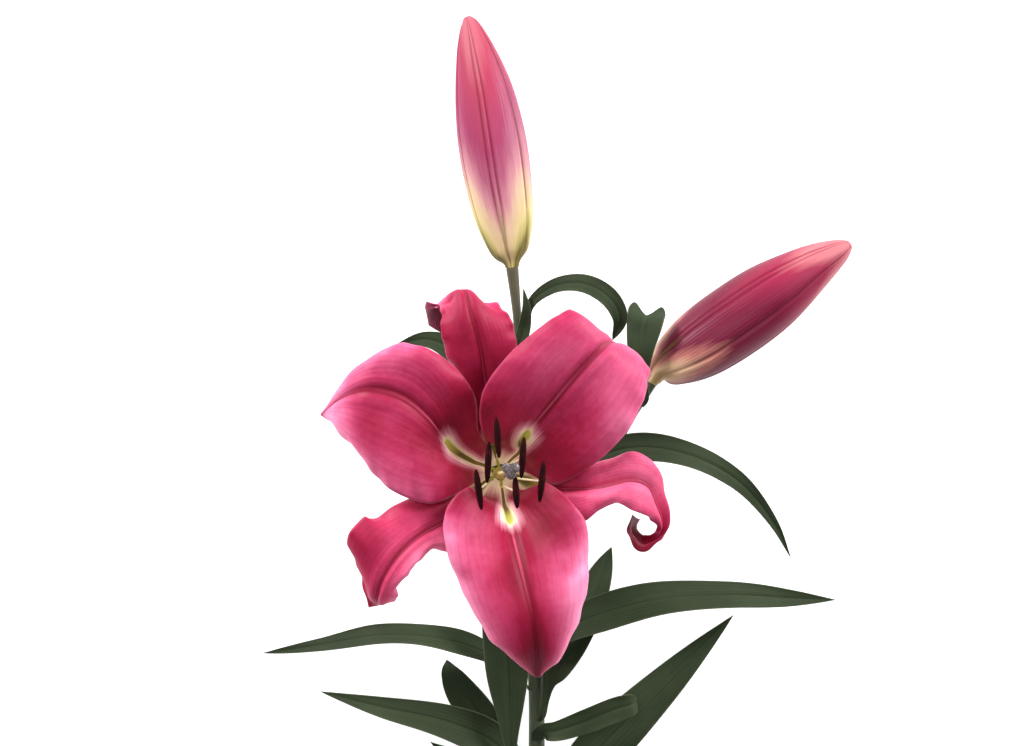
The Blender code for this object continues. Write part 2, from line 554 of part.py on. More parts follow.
def leaf_surface(route, leaf):
    """A blade that hugs the stem at its node, then follows its midrib."""
    centre, stem_radius, climb = route_at(route, leaf["node"])
    east = unit(np.cross(climb, (0.0, 0.0, 1.0)))
    above = np.cross(east, climb)
    side = math.radians(leaf["side"])
    outward = math.cos(side) * east + math.sin(side) * above
    hug_radius = stem_radius + GAP + LEAF_THICKNESS / 2.0 + FACET_ROOM
    foot = centre + outward * hug_radius
    leave = foot + climb * LEAVE_CLIMB + outward * LEAVE_OUT
    first_roll = leaf["midrib"][0][3]
    points = [(*foot, first_roll), (*leave, first_roll), *leaf["midrib"]]
    half, base_half, widest = leaf["half"], leaf["base"] * leaf["half"], leaf["widest"]
    stalk, taper, notch = leaf.get("stalk", FOOT_SHARE), leaf.get("taper", LEAF_TAPER), leaf.get("notch", 0.0)

    def surface(u, v):
        path = curve_at(points, u)
        along = unit(curve_at(points, u + 0.01)[:, :3] - curve_at(points, u - 0.01)[:, :3])
        level = unit(np.cross(along, leaf.get("up", (0.0, 0.0, 1.0))))
        lifted = np.cross(level, along)
        roll = np.radians(path[:, 3])[:, None]
        blade_side = np.cos(roll) * level + np.sin(roll) * lifted
        blade_lift = np.cos(roll) * lifted - np.sin(roll) * level
        stem_side = np.cross(climb, outward)
        if np.dot(stem_side, blade_side[0]) < 0.0:
            stem_side = -stem_side
        freed = smoothstep((u - FOOT_SHARE) / (FREE_SHARE - FOOT_SHARE))[:, None]
        across = stem_side * (1.0 - freed) + blade_side * freed
        across = unit(across - along * np.sum(across * along, axis=1, keepdims=True))
        rise = -outward * (1.0 - freed) + blade_lift * freed
        widen = base_half + (half - base_half) * smoothstep((u - stalk) / (widest - stalk))
        past_widest = np.clip((u - widest) / (1.0 - widest), 0.0, 1.0)
        width = widen * (1.0 if notch else np.maximum(1.0 - past_widest**taper, LEAF_TIP))
        hug = hug_radius * (1.0 - np.sqrt(np.maximum(0.05, 1.0 - (v * base_half / hug_radius) ** 2)))
        phase = 2.0 * math.pi * LEAF_WAVES * u + np.where(v > 0, 0.0, LEAF_WAVE_LAG) + leaf["node"]
        margin = CHANNEL * width * v * v + LEAF_WAVE * width * np.abs(v) ** 3 * np.sin(phase)
        lift = hug * (1.0 - freed[:, 0]) + margin * freed[:, 0]
        forked = smoothstep((u - NOTCH_START) / (1.0 - NOTCH_START))
        lobe = (v / LOBE_PLACE) ** 2
        fork = along * (notch * forked * (lobe * (2.0 - lobe) - NOTCH_LEVEL))[:, None]
        return path[:, :3] + across * (width * v)[:, None] + rise * lift[:, None] + fork

    return surface


def make_leaves(material):
    for name, leaf in LEAVES.items():
        add_blade(name, leaf_surface(MAIN_STEM, leaf), LEAF_GRID, LEAF_THICKNESS, material)
    add_blade("bract", leaf_surface(RIGHT_PEDICEL, BRACT), BRACT_GRID, LEAF_THICKNESS, material)


def main():
    for obj in list(bpy.data.objects):
        bpy.data.objects.remove(obj)
    bloom = bpy.data.objects.new("bloom", None)
    bloom.location = [value * MM for value in BLOOM_BASE]
    bpy.context.scene.collection.objects.link(bloom)

    green = add_material("leaf green", (0.05, 0.09, 0.03), 0.5)
    stem_green = add_material("stem green", (0.08, 0.11, 0.04), 0.5)
    bud_pink = add_material("bud pink", (0.45, 0.14, 0.2), 0.5)
    petal_pink = add_material("petal pink", (0.55, 0.03, 0.1), 0.5)
    filament_green = add_material("filament green", (0.5, 0.55, 0.3), 0.5)
    anther_maroon = add_material("anther maroon", (0.05, 0.005, 0.01), 0.8)
    pistil_green = add_material("pistil green", (0.4, 0.45, 0.2), 0.5)
    stigma_grey = add_material("stigma grey", (0.25, 0.15, 0.22), 0.5)

    make_stem(stem_green)
    make_bud("bud_top", MAIN_STEM, TOP_BUD, math.radians(95.0), bud_pink)
    make_bud("bud_right", RIGHT_PEDICEL, RIGHT_BUD, math.radians(110.0), bud_pink)
    make_bloom(bloom, petal_pink, filament_green, anther_maroon, pistil_green, stigma_grey)
    make_leaves(green)


main()
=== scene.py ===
# %% [markdown]
# # A cut lily: petals, leaves and buds on a fixed frame
#
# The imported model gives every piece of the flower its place, in metres, with the flower lying on its back:
# the stem runs along +Y and the open bloom faces up. This file dresses that frame. Each blade and each bud
# is made again on a fine grid from the same few guide points, and then gets its veins, furrows and colours.

# %% Load the frame
import math

import bmesh
import bpy
import numpy as np
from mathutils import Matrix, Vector


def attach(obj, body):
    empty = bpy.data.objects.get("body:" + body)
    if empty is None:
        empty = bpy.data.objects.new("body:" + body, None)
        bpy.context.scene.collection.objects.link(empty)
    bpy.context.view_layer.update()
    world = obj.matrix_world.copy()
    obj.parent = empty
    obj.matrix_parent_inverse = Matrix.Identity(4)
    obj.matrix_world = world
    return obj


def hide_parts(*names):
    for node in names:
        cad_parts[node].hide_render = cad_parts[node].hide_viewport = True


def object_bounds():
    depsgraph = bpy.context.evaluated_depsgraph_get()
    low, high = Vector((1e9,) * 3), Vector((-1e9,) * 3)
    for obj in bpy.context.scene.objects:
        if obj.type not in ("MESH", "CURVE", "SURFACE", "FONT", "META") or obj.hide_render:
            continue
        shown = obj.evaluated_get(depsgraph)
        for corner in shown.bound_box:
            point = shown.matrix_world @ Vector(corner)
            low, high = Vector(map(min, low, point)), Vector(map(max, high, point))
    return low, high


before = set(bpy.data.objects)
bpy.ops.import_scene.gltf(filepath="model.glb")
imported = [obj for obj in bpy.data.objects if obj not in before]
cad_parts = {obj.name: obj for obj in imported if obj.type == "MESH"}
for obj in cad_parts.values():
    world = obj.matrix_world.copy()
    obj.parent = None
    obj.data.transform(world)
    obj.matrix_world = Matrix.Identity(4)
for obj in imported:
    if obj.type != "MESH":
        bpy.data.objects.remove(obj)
cad_low, cad_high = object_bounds()
MM = 0.001
print("frame:", len(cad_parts), "nodes, size in mm:", [round(d / MM, 1) for d in cad_high - cad_low])

# %% [markdown]
# ## Camera, floor and light
#
# The flower lies down, so the camera looks straight down on it from above, with the stem pointing up the
# picture. A long lens keeps the proportions flat. Two soft lamps stand beyond the buds, left and right, and a
# weak one hangs overhead, under a pale sky. The floor glows like a light table, so shadows stay faint.

# %% Camera
CAMERA_PLACE = (-0.020, 0.048, 1.305)
LENS = 100.0


def add_object(name, data):
    obj = bpy.data.objects.new(name, data)
    bpy.context.scene.collection.objects.link(obj)
    return obj


camera_data = bpy.data.cameras.new("camera")
camera_data.lens = LENS
camera_data.sensor_width = 36.0
camera = add_object("camera", camera_data)
camera.location = CAMERA_PLACE
bpy.context.scene.camera = camera
print("camera above", CAMERA_PLACE[:2], "at", CAMERA_PLACE[2], "m")


# %% Floor and light
def mesh_of(name, bm):
    """Turns a bmesh into a mesh."""
    mesh = bpy.data.meshes.new(name)
    bm.to_mesh(mesh)
    bm.free()
    return mesh


def aim(obj, target):
    obj.rotation_euler = (Vector(target) - obj.location).to_track_quat("-Z", "Y").to_euler()


def add_lamp(name, place, size, watts, colour):
    lamp = bpy.data.lights.new(name, "AREA")
    lamp.shape = "DISK"
    lamp.size = size
    lamp.energy = watts
    lamp.color = colour
    obj = add_object(name, lamp)
    obj.location = place
    aim(obj, (0.0, 0.0, 0.0))
    print("lamp:", name, "with", watts, "W")


add_lamp("left_lamp", (-1.3, 1.3, 0.8), 0.8, 46.0, (1.0, 0.97, 0.98))
add_lamp("right_lamp", (1.4, 1.0, 0.8), 0.8, 42.0, (1.0, 0.97, 0.98))
add_lamp("top_lamp", (-0.1, 0.5, 2.4), 1.0, 14.0, (0.98, 0.98, 1.0))

world = bpy.data.worlds.new("studio")
world.use_nodes = True
sky = world.node_tree.nodes["Background"]
sky.inputs["Color"].default_value = (1.0, 1.0, 1.0, 1.0)
sky.inputs["Strength"].default_value = 0.25
bpy.context.scene.world = world
bpy.context.scene.view_settings.view_transform = "Standard"

floor_bm = bmesh.new()
bmesh.ops.create_grid(floor_bm, x_segments=1, y_segments=1, size=4.0)
floor = add_object("floor", mesh_of("floor", floor_bm))
floor.location.z = cad_low.z - 0.1 * MM

# %% [markdown]
# ## A short way to write materials
#
# A material is a chain of small sums: how far from the midrib, how much noise, how dark. `Wire` wraps the
# output of a node, so such a sum is written as plain arithmetic, and each operator adds its Math node.
# `Finish` is one material with one method, `node`, that adds any other node. The same could be linked up by
# hand in the node editor, but a sum is shorter to read and easier to change.


# %% Materials in plain arithmetic
class Wire:
    """One output of a material's nodes that can stand in a sum."""

    def __init__(self, finish, socket):
        self.finish = finish
        self.socket = socket

    def maths(self, operation, first, second=0.0):
        return self.finish.node("ShaderNodeMath", {"operation": operation}, {0: first, 1: second})

    def __add__(self, other):
        return self.maths("ADD", self, other)

    __radd__ = __add__

    def __sub__(self, other):
        return self.maths("SUBTRACT", self, other)

    def __rsub__(self, other):
        return self.maths("SUBTRACT", other, self)

    def __mul__(self, other):
        return self.maths("MULTIPLY", self, other)

    __rmul__ = __mul__

    def __truediv__(self, other):
        return self.maths("DIVIDE", self, other)

    def __pow__(self, other):
        return self.maths("POWER", self, other)

    def __abs__(self):
        return self.maths("ABSOLUTE", self)

    def above(self, other):
        return self.maths("MAXIMUM", self, other)

    def wave(self):
        return self.maths("COSINE", self)


def srgb(red, green, blue):
    """A colour given as 0 to 255 in sRGB, as the linear values that nodes expect."""
    shares = [value / 255.0 for value in (red, green, blue)]
    return (*(s / 12.92 if s <= 0.04045 else ((s + 0.055) / 1.055) ** 2.4 for s in shares), 1.0)


class Finish:
    """A material and the nodes that make its pattern."""

    def __init__(self, name):
        self.material = bpy.data.materials.new(name)
        self.material.use_nodes = True
        self.tree = self.material.node_tree
        self.shader = self.tree.nodes["Principled BSDF"]
        self.colour = None

    def node(self, kind, settings=None, sockets=None, output=0):
        """Adds a node, sets it, fills or links its sockets, and returns one of its outputs."""
        made = self.tree.nodes.new(kind)
        for key, value in (settings or {}).items():
            if key == "stops":
                ramp = made.color_ramp.elements
                for _ in value[2:]:
                    ramp.new(0.5)
                for element, (position, colour) in zip(ramp, value):
                    element.position = position
                    element.color = colour
            else:
                setattr(made, key, value)
        for key, value in (sockets or {}).items():
            self.fill(made.inputs[key], value)
        return Wire(self, made.outputs[output])

    def fill(self, socket, value):
        """Links a wire to the socket or sets its value. A colour is red, green and blue from 0 to 255."""
        if isinstance(value, Wire):
            self.tree.links.new(value.socket, socket)
        else:
            socket.default_value = srgb(*value) if socket.type == "RGBA" else value

    def ease(self, value, low, high):
        """0 below low, 1 above high, and a smooth step between them."""
        settings = {"interpolation_type": "SMOOTHSTEP"}
        return self.node("ShaderNodeMapRange", settings, {0: value, 1: low, 2: high, 3: 0.0, 4: 1.0})

    def blend(self, first, second, share):
        return self.node("ShaderNodeMix", {"data_type": "RGBA"}, {0: share, 6: first, 7: second}, 2)

    def paint(self, colour, share):
        """Lays a colour over the material's own, as far as share says."""
        self.colour = self.blend(self.colour, colour, share)

    def ramp(self, value, stops):
        """A colour ramp. Each stop is its place on it, and then red, green and blue from 0 to 255."""
        placed = [(place, srgb(*colour)) for place, *colour in stops]
        return self.node("ShaderNodeValToRGB", {"stops": placed}, {0: value})

    def places(self):
        """Along the piece, in units of 100 mm from its foot, and across or round it, from 0 to 1."""
        flat = self.node("ShaderNodeUVMap", {"uv_map": BLADE_MAP})
        return self.axis(flat, 0), self.axis(flat, 1)

    def axis(self, vector, number):
        return self.node("ShaderNodeSeparateXYZ", {}, {0: vector}, number)

    def noise(self, vector, scale, detail=2.0, roughness=0.5):
        """Noise round 0 that stays mostly within -0.25 and 0.25."""
        sockets = {"Vector": vector, "Scale": scale, "Detail": detail, "Roughness": roughness}
        return self.node("ShaderNodeTexNoise", {}, sockets) - 0.5

    def veined(self, along, across, drift, streaks, roughness, veins):
        """Streaks, and veins that wander. drift and streaks say how fast they change along and across."""
        wander = self.noise(self.vector(along * drift[0], across * drift[1]), 1.0)
        streak = self.noise(self.vector(along * streaks[0], across * streaks[1]), streaks[2], 4.0, roughness)
        return streak, ((across + drift[2] * wander) * veins).wave() * 0.5 + 0.5

    def solid(self):
        """The place in space, in metres."""
        return self.node("ShaderNodeTexCoord", {}, {}, "Object")

    def vector(self, x, y, z=0.0):
        return self.node("ShaderNodeCombineXYZ", {}, {0: x, 1: y, 2: z})

    def bump(self, height, millimetres):
        return self.node("ShaderNodeBump", {}, {"Height": height, "Distance": millimetres * MM})

    def done(self, inputs):
        """Feeds the shader with the material's colour and with the other inputs."""
        for key, value in {"Base Color": self.colour, **inputs}.items():
            self.fill(self.shader.inputs[key], value)
        print("finish:", self.material.name, "with", len(self.tree.nodes), "nodes")
        return self.material


def flesh(weight, radius):
    """Light that enters a piece and comes out again, from further off in red than in green and blue."""
    return {"Subsurface Weight": weight, "Subsurface Radius": radius, "Subsurface Scale": 0.5}


BLADE_MAP = "blade"
FLOOR_GLOW = 0.8
floor_finish = Finish("pale floor")
floor_finish.colour = (210, 210, 210)
glow = {"Emission Color": (255, 255, 255), "Emission Strength": FLOOR_GLOW}
floor.data.materials.append(floor_finish.done({"Roughness": 0.9, **glow}))

# %% [markdown]
# ## Curves, blades and tubes
#
# Two kinds of shape make the whole flower. A blade is a flat grid bent over three guide curves: both margins
# and the midrib. A tube is a grid rolled round a route. Both could be sculpted, but a few guide points are
# easier to place and to move than thousands of vertices. Both keep a map of their own, so that veins can run
# from foot to tip whatever way the piece bends.


# %% Curves
def curve_at(points, share):
    """Points of a smooth curve through the given ones, at shares of its way from 0 to 1."""
    points = np.asarray(points, float)
    run_in = 2 * points[0] - points[1]
    run_out = 2 * points[-1] - points[-2]
    padded = np.vstack([run_in, points, run_out])
    spans = len(points) - 1
    place = np.clip(np.asarray(share, float) * spans, 0.0, spans - 1e-9)
    first = place.astype(int)
    t = (place - first)[:, None]
    a, b, c, d = (padded[first + k] for k in range(4))
    return b + 0.5 * t * (c - a + t * (2 * a - 5 * b + 4 * c - d + t * (3 * (b - c) + d - a)))


def unit(vectors):
    return vectors / np.linalg.norm(vectors, axis=-1, keepdims=True)


def smoothstep(x):
    x = np.clip(x, 0.0, 1.0)
    return x * x * (3.0 - 2.0 * x)


def hump(x, width):
    return np.exp(-((x / width) ** 2))


# %% A grid bent over a surface
def bent_grid(surface, along, across, move=(0.0, 0.0, 0.0)):
    """A mapped grid of quads, bent to surface(u, v), with u from 0 to 1 and v from -1 to 1."""
    bm = bmesh.new()
    flat_map = bm.loops.layers.uv.new(BLADE_MAP)
    bmesh.ops.create_grid(bm, x_segments=along, y_segments=across, size=1.0)
    u = np.array([(vert.co.x + 1.0) / 2.0 for vert in bm.verts])
    v = np.array([vert.co.y for vert in bm.verts])
    midrib = surface(np.linspace(0.0, 1.0, 200), np.zeros(200))
    steps = np.linalg.norm(np.diff(midrib, axis=0), axis=1)
    length = np.concatenate([[0.0], np.cumsum(steps)])
    map_x = np.interp(u, np.linspace(0.0, 1.0, 200), length) / 100.0
    map_y = (v + 1.0) / 2.0
    for face in bm.faces:
        for loop in face.loops:
            loop[flat_map].uv = (map_x[loop.vert.index], map_y[loop.vert.index])
    for vert, point in zip(bm.verts, surface(u, v)):
        vert.co = (point + move) * MM
    return bm


def finished_piece(name, bm, materials, node):
    """Makes the bmesh an object that stands for a CAD node."""
    mesh = mesh_of(name, bm)
    for material in materials:
        mesh.materials.append(material)
    mesh.shade_smooth()
    obj = add_object(name, mesh)
    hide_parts(node)
    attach(obj, "root")
    print("piece:", name, "with", len(mesh.polygons), "faces")
    return obj


# %% A blade with two faces
def add_blade(node, surface, grid, thickness, margin_share, materials, move=(0.0, 0.0, 0.0)):
    """A blade, thick along its midrib and thin at its margins. materials are for its face and its back."""
    bm = bent_grid(lambda u, v: surface(u, -v), grid[0], grid[1], move)
    flat_map = bm.loops.layers.uv[BLADE_MAP]
    across = {loop.vert.index: loop[flat_map].uv.y for face in bm.faces for loop in face.loops}
    obj = finished_piece(node + "_blade", bm, materials, node)
    body = obj.vertex_groups.new(name="body")
    for index, place in across.items():
        body.add([index], float(1.0 - smoothstep((abs(2.0 * place - 1.0) - 0.1) / 0.9)), "REPLACE")
    solidify = obj.modifiers.new("thickness", "SOLIDIFY")
    solidify.thickness = thickness * MM
    solidify.offset = 0.0
    solidify.use_even_offset = False
    solidify.vertex_group = body.name
    solidify.thickness_vertex_group = margin_share
    solidify.material_offset = 1


# %% A tube round a route
def tube_surface(route, shape=None, stations=400):
    """Surface round a route of x, y, z and radius. shape(angle, u) scales the radius."""
    share = np.linspace(0.0, 1.0, stations)
    path = curve_at(route, share)
    directions = unit(np.gradient(path[:, :3], axis=0))
    reference = np.array([0.0, 0.0, 1.0]) if abs(directions[0][2]) < 0.9 else np.array([0.0, 1.0, 0.0])
    sideways = [unit(np.cross(directions[0], reference))]
    for direction in directions[1:]:
        sideways.append(unit(sideways[-1] - direction * np.dot(sideways[-1], direction)))
    sideways = np.array(sideways)
    upward = np.cross(sideways, directions)

    def at(table, u):
        return np.stack([np.interp(u, share, column) for column in table.T], axis=1)

    def surface(u, v):
        angle = math.pi * (v + 1.0)
        scale = 1.0 if shape is None else shape(angle, u)
        placed = at(path, u)
        radius = (placed[:, 3] * scale)[:, None]
        turned = np.cos(angle)[:, None] * at(sideways, u) + np.sin(angle)[:, None] * at(upward, u)
        return placed[:, :3] + radius * turned

    return surface


def rounded_ends(u, first, last):
    """1 along a tube and 0 at its ends, with the first and last shares of it rounded off."""
    opening = np.clip(u / first, 0.0, 1.0) if first else np.where(u > 0.0, 1.0, 0.0)
    closing = np.clip((1.0 - u) / last, 0.0, 1.0) if last else np.where(u < 1.0, 1.0, 0.0)
    return np.sqrt(1.0 - (1.0 - opening) ** 2) * np.sqrt(1.0 - (1.0 - closing) ** 2)


def rolled(surface, along, around, move=(0.0, 0.0, 0.0)):
    """The grid of a tube, sewn up along its seam and at both ends."""
    bm = bent_grid(surface, along, around, move)
    bmesh.ops.remove_doubles(bm, verts=bm.verts, dist=1e-3 * MM)
    bmesh.ops.recalc_face_normals(bm, faces=bm.faces)
    return bm


def add_tube(node, suffix, surface, grid, material, move=(0.0, 0.0, 0.0)):
    finished_piece(f"{node}_{suffix}", rolled(surface, *grid, move), [material], node)


# %% [markdown]
# ## The tepals
#
# A lily has three sepals outside and three petals inside, all coloured alike and together called tepals.
# Near the foot they stand as a tube, and then each bends out. One petal could be bent from a flat sheet and
# copied six times, but no two are alike, so three guide curves give each its form. On top of it comes what
# the eye reads as petal: a groove along the midrib with a soft shoulder on either side, the nectar furrow at
# the foot, and ruffled margins.

# %% Guides of the tepals, in millimetres
BLOOM_BASE = (-25.5, 4.0, 38.0)  # top of the receptacle
# Tube of the bloom: height above the receptacle and radius, for the outer sepals and the inner petals.
SEPAL_TUBE = [(0.6, 5.2), (12.0, 9.2), (23.0, 13.6)]
PETAL_TUBE = [(0.6, 3.9), (13.0, 7.6), (26.0, 12.4)]
TUBE_HALF_ANGLE = (50.0, 46.0)  # of each tepal, at the receptacle and at the mouth of the tube
OPENING_SHARE = 0.25  # of its length past the mouth, in which a tepal's swell and waves grow
TIP_SHARE = 0.15  # of its length, in which they fade out
WAVE_LAG = 2.1  # between the waves of the two margins, in radians
# Open parts of the six tepals, past the tube, measured from the top of the receptacle. Each has its
# azimuth, the guide curves of its left margin, midrib and right margin seen from its base, how far its
# two halves swell beside the midrib from the mouth of the tube to the tip, and the height and count of the
# waves along its margins.
TEPALS = {
    "petal_upper_left": {
        "azimuth": 155.0, "swell": [2.5], "wave": 1.0, "waves": 4.5,
        "left": [(-17, -7.5, 40), (-29.5, -12, 48), (-44.2, -6.8, 52), (-57.3, 5, 51), (-68.5, 20.2, 44),
                 (-75.5, 24.5, 36)],
        "middle": [(-20.5, 12, 41), (-30.5, 25, 51), (-42, 34, 57), (-56, 37, 57), (-67.5, 33.5, 49),
                   (-77, 26, 38)],
        "right": [(-9, 18.5, 43), (-11, 36, 50), (-25, 51.5, 55), (-41.3, 55.8, 55), (-57.8, 47.2, 50),
                  (-76.8, 26, 38)],
    },
    "petal_upper_right": {
        "azimuth": 48.0, "swell": [2.5, 2.5, 2.0, 0.0], "wave": 1.0, "waves": 4.0,
        "left": [(-6, 15.5, 48), (-8, 33.5, 58), (2, 49.5, 62), (19, 64.5, 62), (30.8, 70, 57.5),
                 (36.5, 61.5, 51), (45, 55, 39)],
        "middle": [(10, 15, 42), (21, 29, 53), (32, 42.5, 60), (41, 52, 62), (46.5, 57, 58), (50, 57, 48),
                   (48.5, 52, 38)],
        "right": [(24.5, -4, 40), (40.5, 5, 50), (53.5, 18, 56), (62, 33.5, 57), (63.5, 43.5, 52),
                  (59.5, 51, 44), (51.5, 53, 38)],
    },
    "petal_bottom": {
        "azimuth": 279.0, "swell": [2.5], "wave": 1.0, "waves": 4.0,
        "left": [(21, -3.5, 49), (35.5, -16.5, 56), (38, -33.5, 59), (36, -52.5, 58), (29, -74, 53),
                 (18.3, -85.2, 47)],
        "middle": [(3.5, -16, 42), (7, -29.5, 54), (10.5, -43.5, 61), (14, -58.5, 63), (16, -73, 58),
                   (16.4, -86.2, 48)],
        "right": [(-14, -5, 49), (-23.5, -17, 56), (-21, -35.5, 59), (-11.5, -56.5, 58), (2, -75, 53),
                  (13.8, -85.2, 47)],
    },
    "sepal_top": {
        "azimuth": 100.0, "swell": [2.0, 2.5, 0.5, -4.0, -3.0], "wave": 0.8, "waves": 3.0,
        "left": [(-12, 14, 31), (-16, 37.5, 40), (-23, 53, 46), (-24.5, 65, 48), (-26, 73, 43),
                 (-32, 74, 31), (-31, 65, 20)],
        "middle": [(-2.5, 18.5, 31), (-5.5, 36, 42), (-8, 54, 50), (-12, 69, 52), (-15.3, 80, 46),
                   (-23, 74.5, 33), (-27.5, 63, 22)],
        "right": [(6, 17.5, 30), (6.5, 39, 41), (7.5, 56.5, 47), (5, 67, 48), (-2.5, 73.5, 43),
                  (-12, 73, 34), (-22.5, 60, 23)],
    },
    "sepal_lower_left": {
        "azimuth": 217.0, "swell": [2.0, 2.5, 1.0, -1.5], "wave": 1.5, "waves": 4.5,
        "left": [(-8.5, -19, 32), (-19, -32, 42), (-29.5, -32, 49), (-37, -39.5, 52), (-43, -47, 49),
                 (-45.5, -53.5, 42), (-49, -55.5, 33)],
        "middle": [(-14, -14, 32), (-23.5, -20, 42), (-35, -26.5, 49), (-44, -35, 51), (-50, -44.5, 49),
                   (-53, -54, 43), (-52.5, -56.5, 33)],
        "right": [(-20, -5.5, 31), (-31.5, -7, 39), (-51, -17, 44), (-58.5, -18, 49), (-65.3, -29.5, 46),
                  (-59.5, -44, 42), (-56.5, -57.5, 36)],
    },
    "sepal_lower_right": {
        "azimuth": 344.0, "swell": [1.8], "wave": 0.7, "waves": 4.0,
        "left": [(17, 3.5, 30), (30.5, 3.5, 36), (45, 6.5, 43), (58, 10, 47), (67.5, 4, 44), (71, -6.5, 38),
                 (72.5, -19.5, 35), (69.5, -29, 38), (61, -32.5, 41), (55, -25, 42), (57.5, -17, 41)],
        "middle": [(17, -4.5, 30), (29, -6, 38), (42.5, -5, 45), (56, -2, 49), (64, -4.5, 46),
                   (67.5, -11.5, 42), (70.5, -21, 37), (68, -28, 37), (61.5, -30.5, 36), (57, -24.5, 36),
                   (59, -18.5, 36)],
        "right": [(15, -11, 30), (34, -20, 40), (43.5, -14.5, 46), (50, -11.5, 49), (57.5, -15, 49),
                  (64, -18, 46), (68, -22, 39), (66.5, -26, 35), (62.5, -28, 31), (59.5, -24, 30),
                  (61, -19.5, 31)],
    },
}

print("tepals:", ", ".join(TEPALS))


# %% Form of a tepal
def tepal_guides(tepal, tube):
    """Left, middle and right guide curves of a tepal, from the receptacle to its tip."""
    guides = {"left": [], "middle": [], "right": []}
    for k, (height, radius) in enumerate(tube):
        share = k / (len(tube) - 1)
        half = TUBE_HALF_ANGLE[0] + (TUBE_HALF_ANGLE[1] - TUBE_HALF_ANGLE[0]) * share
        for side, turn in (("left", half), ("middle", 0.0), ("right", -half)):
            angle = math.radians(tepal["azimuth"] + turn)
            guides[side].append((radius * math.cos(angle), radius * math.sin(angle), height))
    return [guides[side] + tepal[side] for side in ("left", "middle", "right")]


# Forms along the midrib: height, distance from the midrib and width.
SHOULDER = (0.45, 4.0, 2.2)  # a swelling on either side
HOLLOW = (-0.5, 0.0, 2.4)  # between the two swellings
FINE_FURROW = (-0.4, 1.0, 0.5)  # in the hollow, close to the midrib on either side
NECTAR_FURROW = (-1.1, 0.0, 1.6)
NECTAR_SPAN = (0.1, 0.4)  # of the nectar furrow, as shares of the length
NARROWEST = 4.0  # half width down to which the grooves keep their own width
RUFFLE = 0.55  # height of the small ruffles at the margins
RUFFLES = 9.0  # in the length of a tepal
RUFFLE_LAG = 1.3  # between the ruffles of the two margins, in radians
FINE_RUFFLE = 0.6  # height of the finer ruffles, as a share
FINE_RUFFLES = 1.7  # how many times closer they stand


def ridge(aside, form):
    height, place, width = form
    return height * hump(aside - place, width)


def tepal_surface(tepal, tube):
    left_guide, middle_guide, right_guide = tepal_guides(tepal, tube)
    mouth = (len(tube) - 1) / (len(middle_guide) - 1)
    turn = math.radians(tepal["azimuth"])

    def plain(u, v):
        left = curve_at(left_guide, u)
        middle = curve_at(middle_guide, u)
        right = curve_at(right_guide, u)
        v = v[:, None]
        return middle + v * (right - left) / 2.0 + v * v * ((right + left) / 2.0 - middle)

    def surface(u, v):
        step = 0.01
        along = plain(u + step, v) - plain(u - step, v)
        across = plain(u, v + step) - plain(u, v - step)
        normal = unit(np.cross(across, along))
        half = np.linalg.norm(plain(u, np.ones_like(v)) - plain(u, np.zeros_like(v)), axis=1)
        aside = np.abs(v) * np.maximum(half, NARROWEST)
        opened = smoothstep((u - mouth) / OPENING_SHARE) * smoothstep((1.0 - u) / TIP_SHARE)
        stations = np.linspace(mouth, 1.0, len(tepal["swell"]))
        swell = np.interp(u, stations, tepal["swell"]) * 4.0 * (v**2 - v**4)
        phase = 2.0 * math.pi * tepal["waves"] * u + np.where(v > 0, 0.0, WAVE_LAG)
        wave = tepal["wave"] * np.abs(v) ** 3 * np.sin(phase)
        lag = turn + np.where(v > 0, 0.0, RUFFLE_LAG)
        ripple = 2.0 * math.pi * RUFFLES * u
        small = np.sin(ripple + lag) + FINE_RUFFLE * np.sin(FINE_RUFFLES * ripple + 2.0 * lag)
        ruffle = RUFFLE * np.abs(v) ** 5 * small
        groove = ridge(aside, SHOULDER) + ridge(aside, HOLLOW) + ridge(aside, FINE_FURROW)
        groove *= smoothstep((1.0 - u) / TIP_SHARE)
        first, last = NECTAR_SPAN
        furrowed = smoothstep(u / first) * (1.0 - smoothstep((u - last) / first))
        relief = groove + ridge(aside, NECTAR_FURROW) * furrowed
        return plain(u, v) + normal * ((swell + wave + ruffle) * opened + relief)[:, None]

    return surface


# %% [markdown]
# ### The skin of a tepal
#
# The colour runs from deep crimson to rose and then pale pink, in streaks that follow the veins. Each tepal
# has tones of its own for its middle, its two sides and its tip: partly its own paling, and partly painted
# light and shade, lighter where it turns towards the lamps and darker where it curls or droops away. At the
# foot a cream halo surrounds the yellow-green nectar furrow, and a painted glow lightens the shaded throat.
# All of it could be painted by hand, but noise that is drawn out along the blade gives streaks that stay
# sharp from close by. The map of the blade carries them, because they have to bend with it. The back is
# duller and darker, partly in painted shade, with a pale keel.


# %% Finish of a tepal's face and back
HALO = 9.0  # from the nectar furrow to the outer edge of the pale halo round it
TIP_RUN = 45.0  # length of the tip that has a tone of its own
PAINTED_THROAT_GLOW = 0.3  # how much of its own colour the shaded throat gives off, as a painted glow
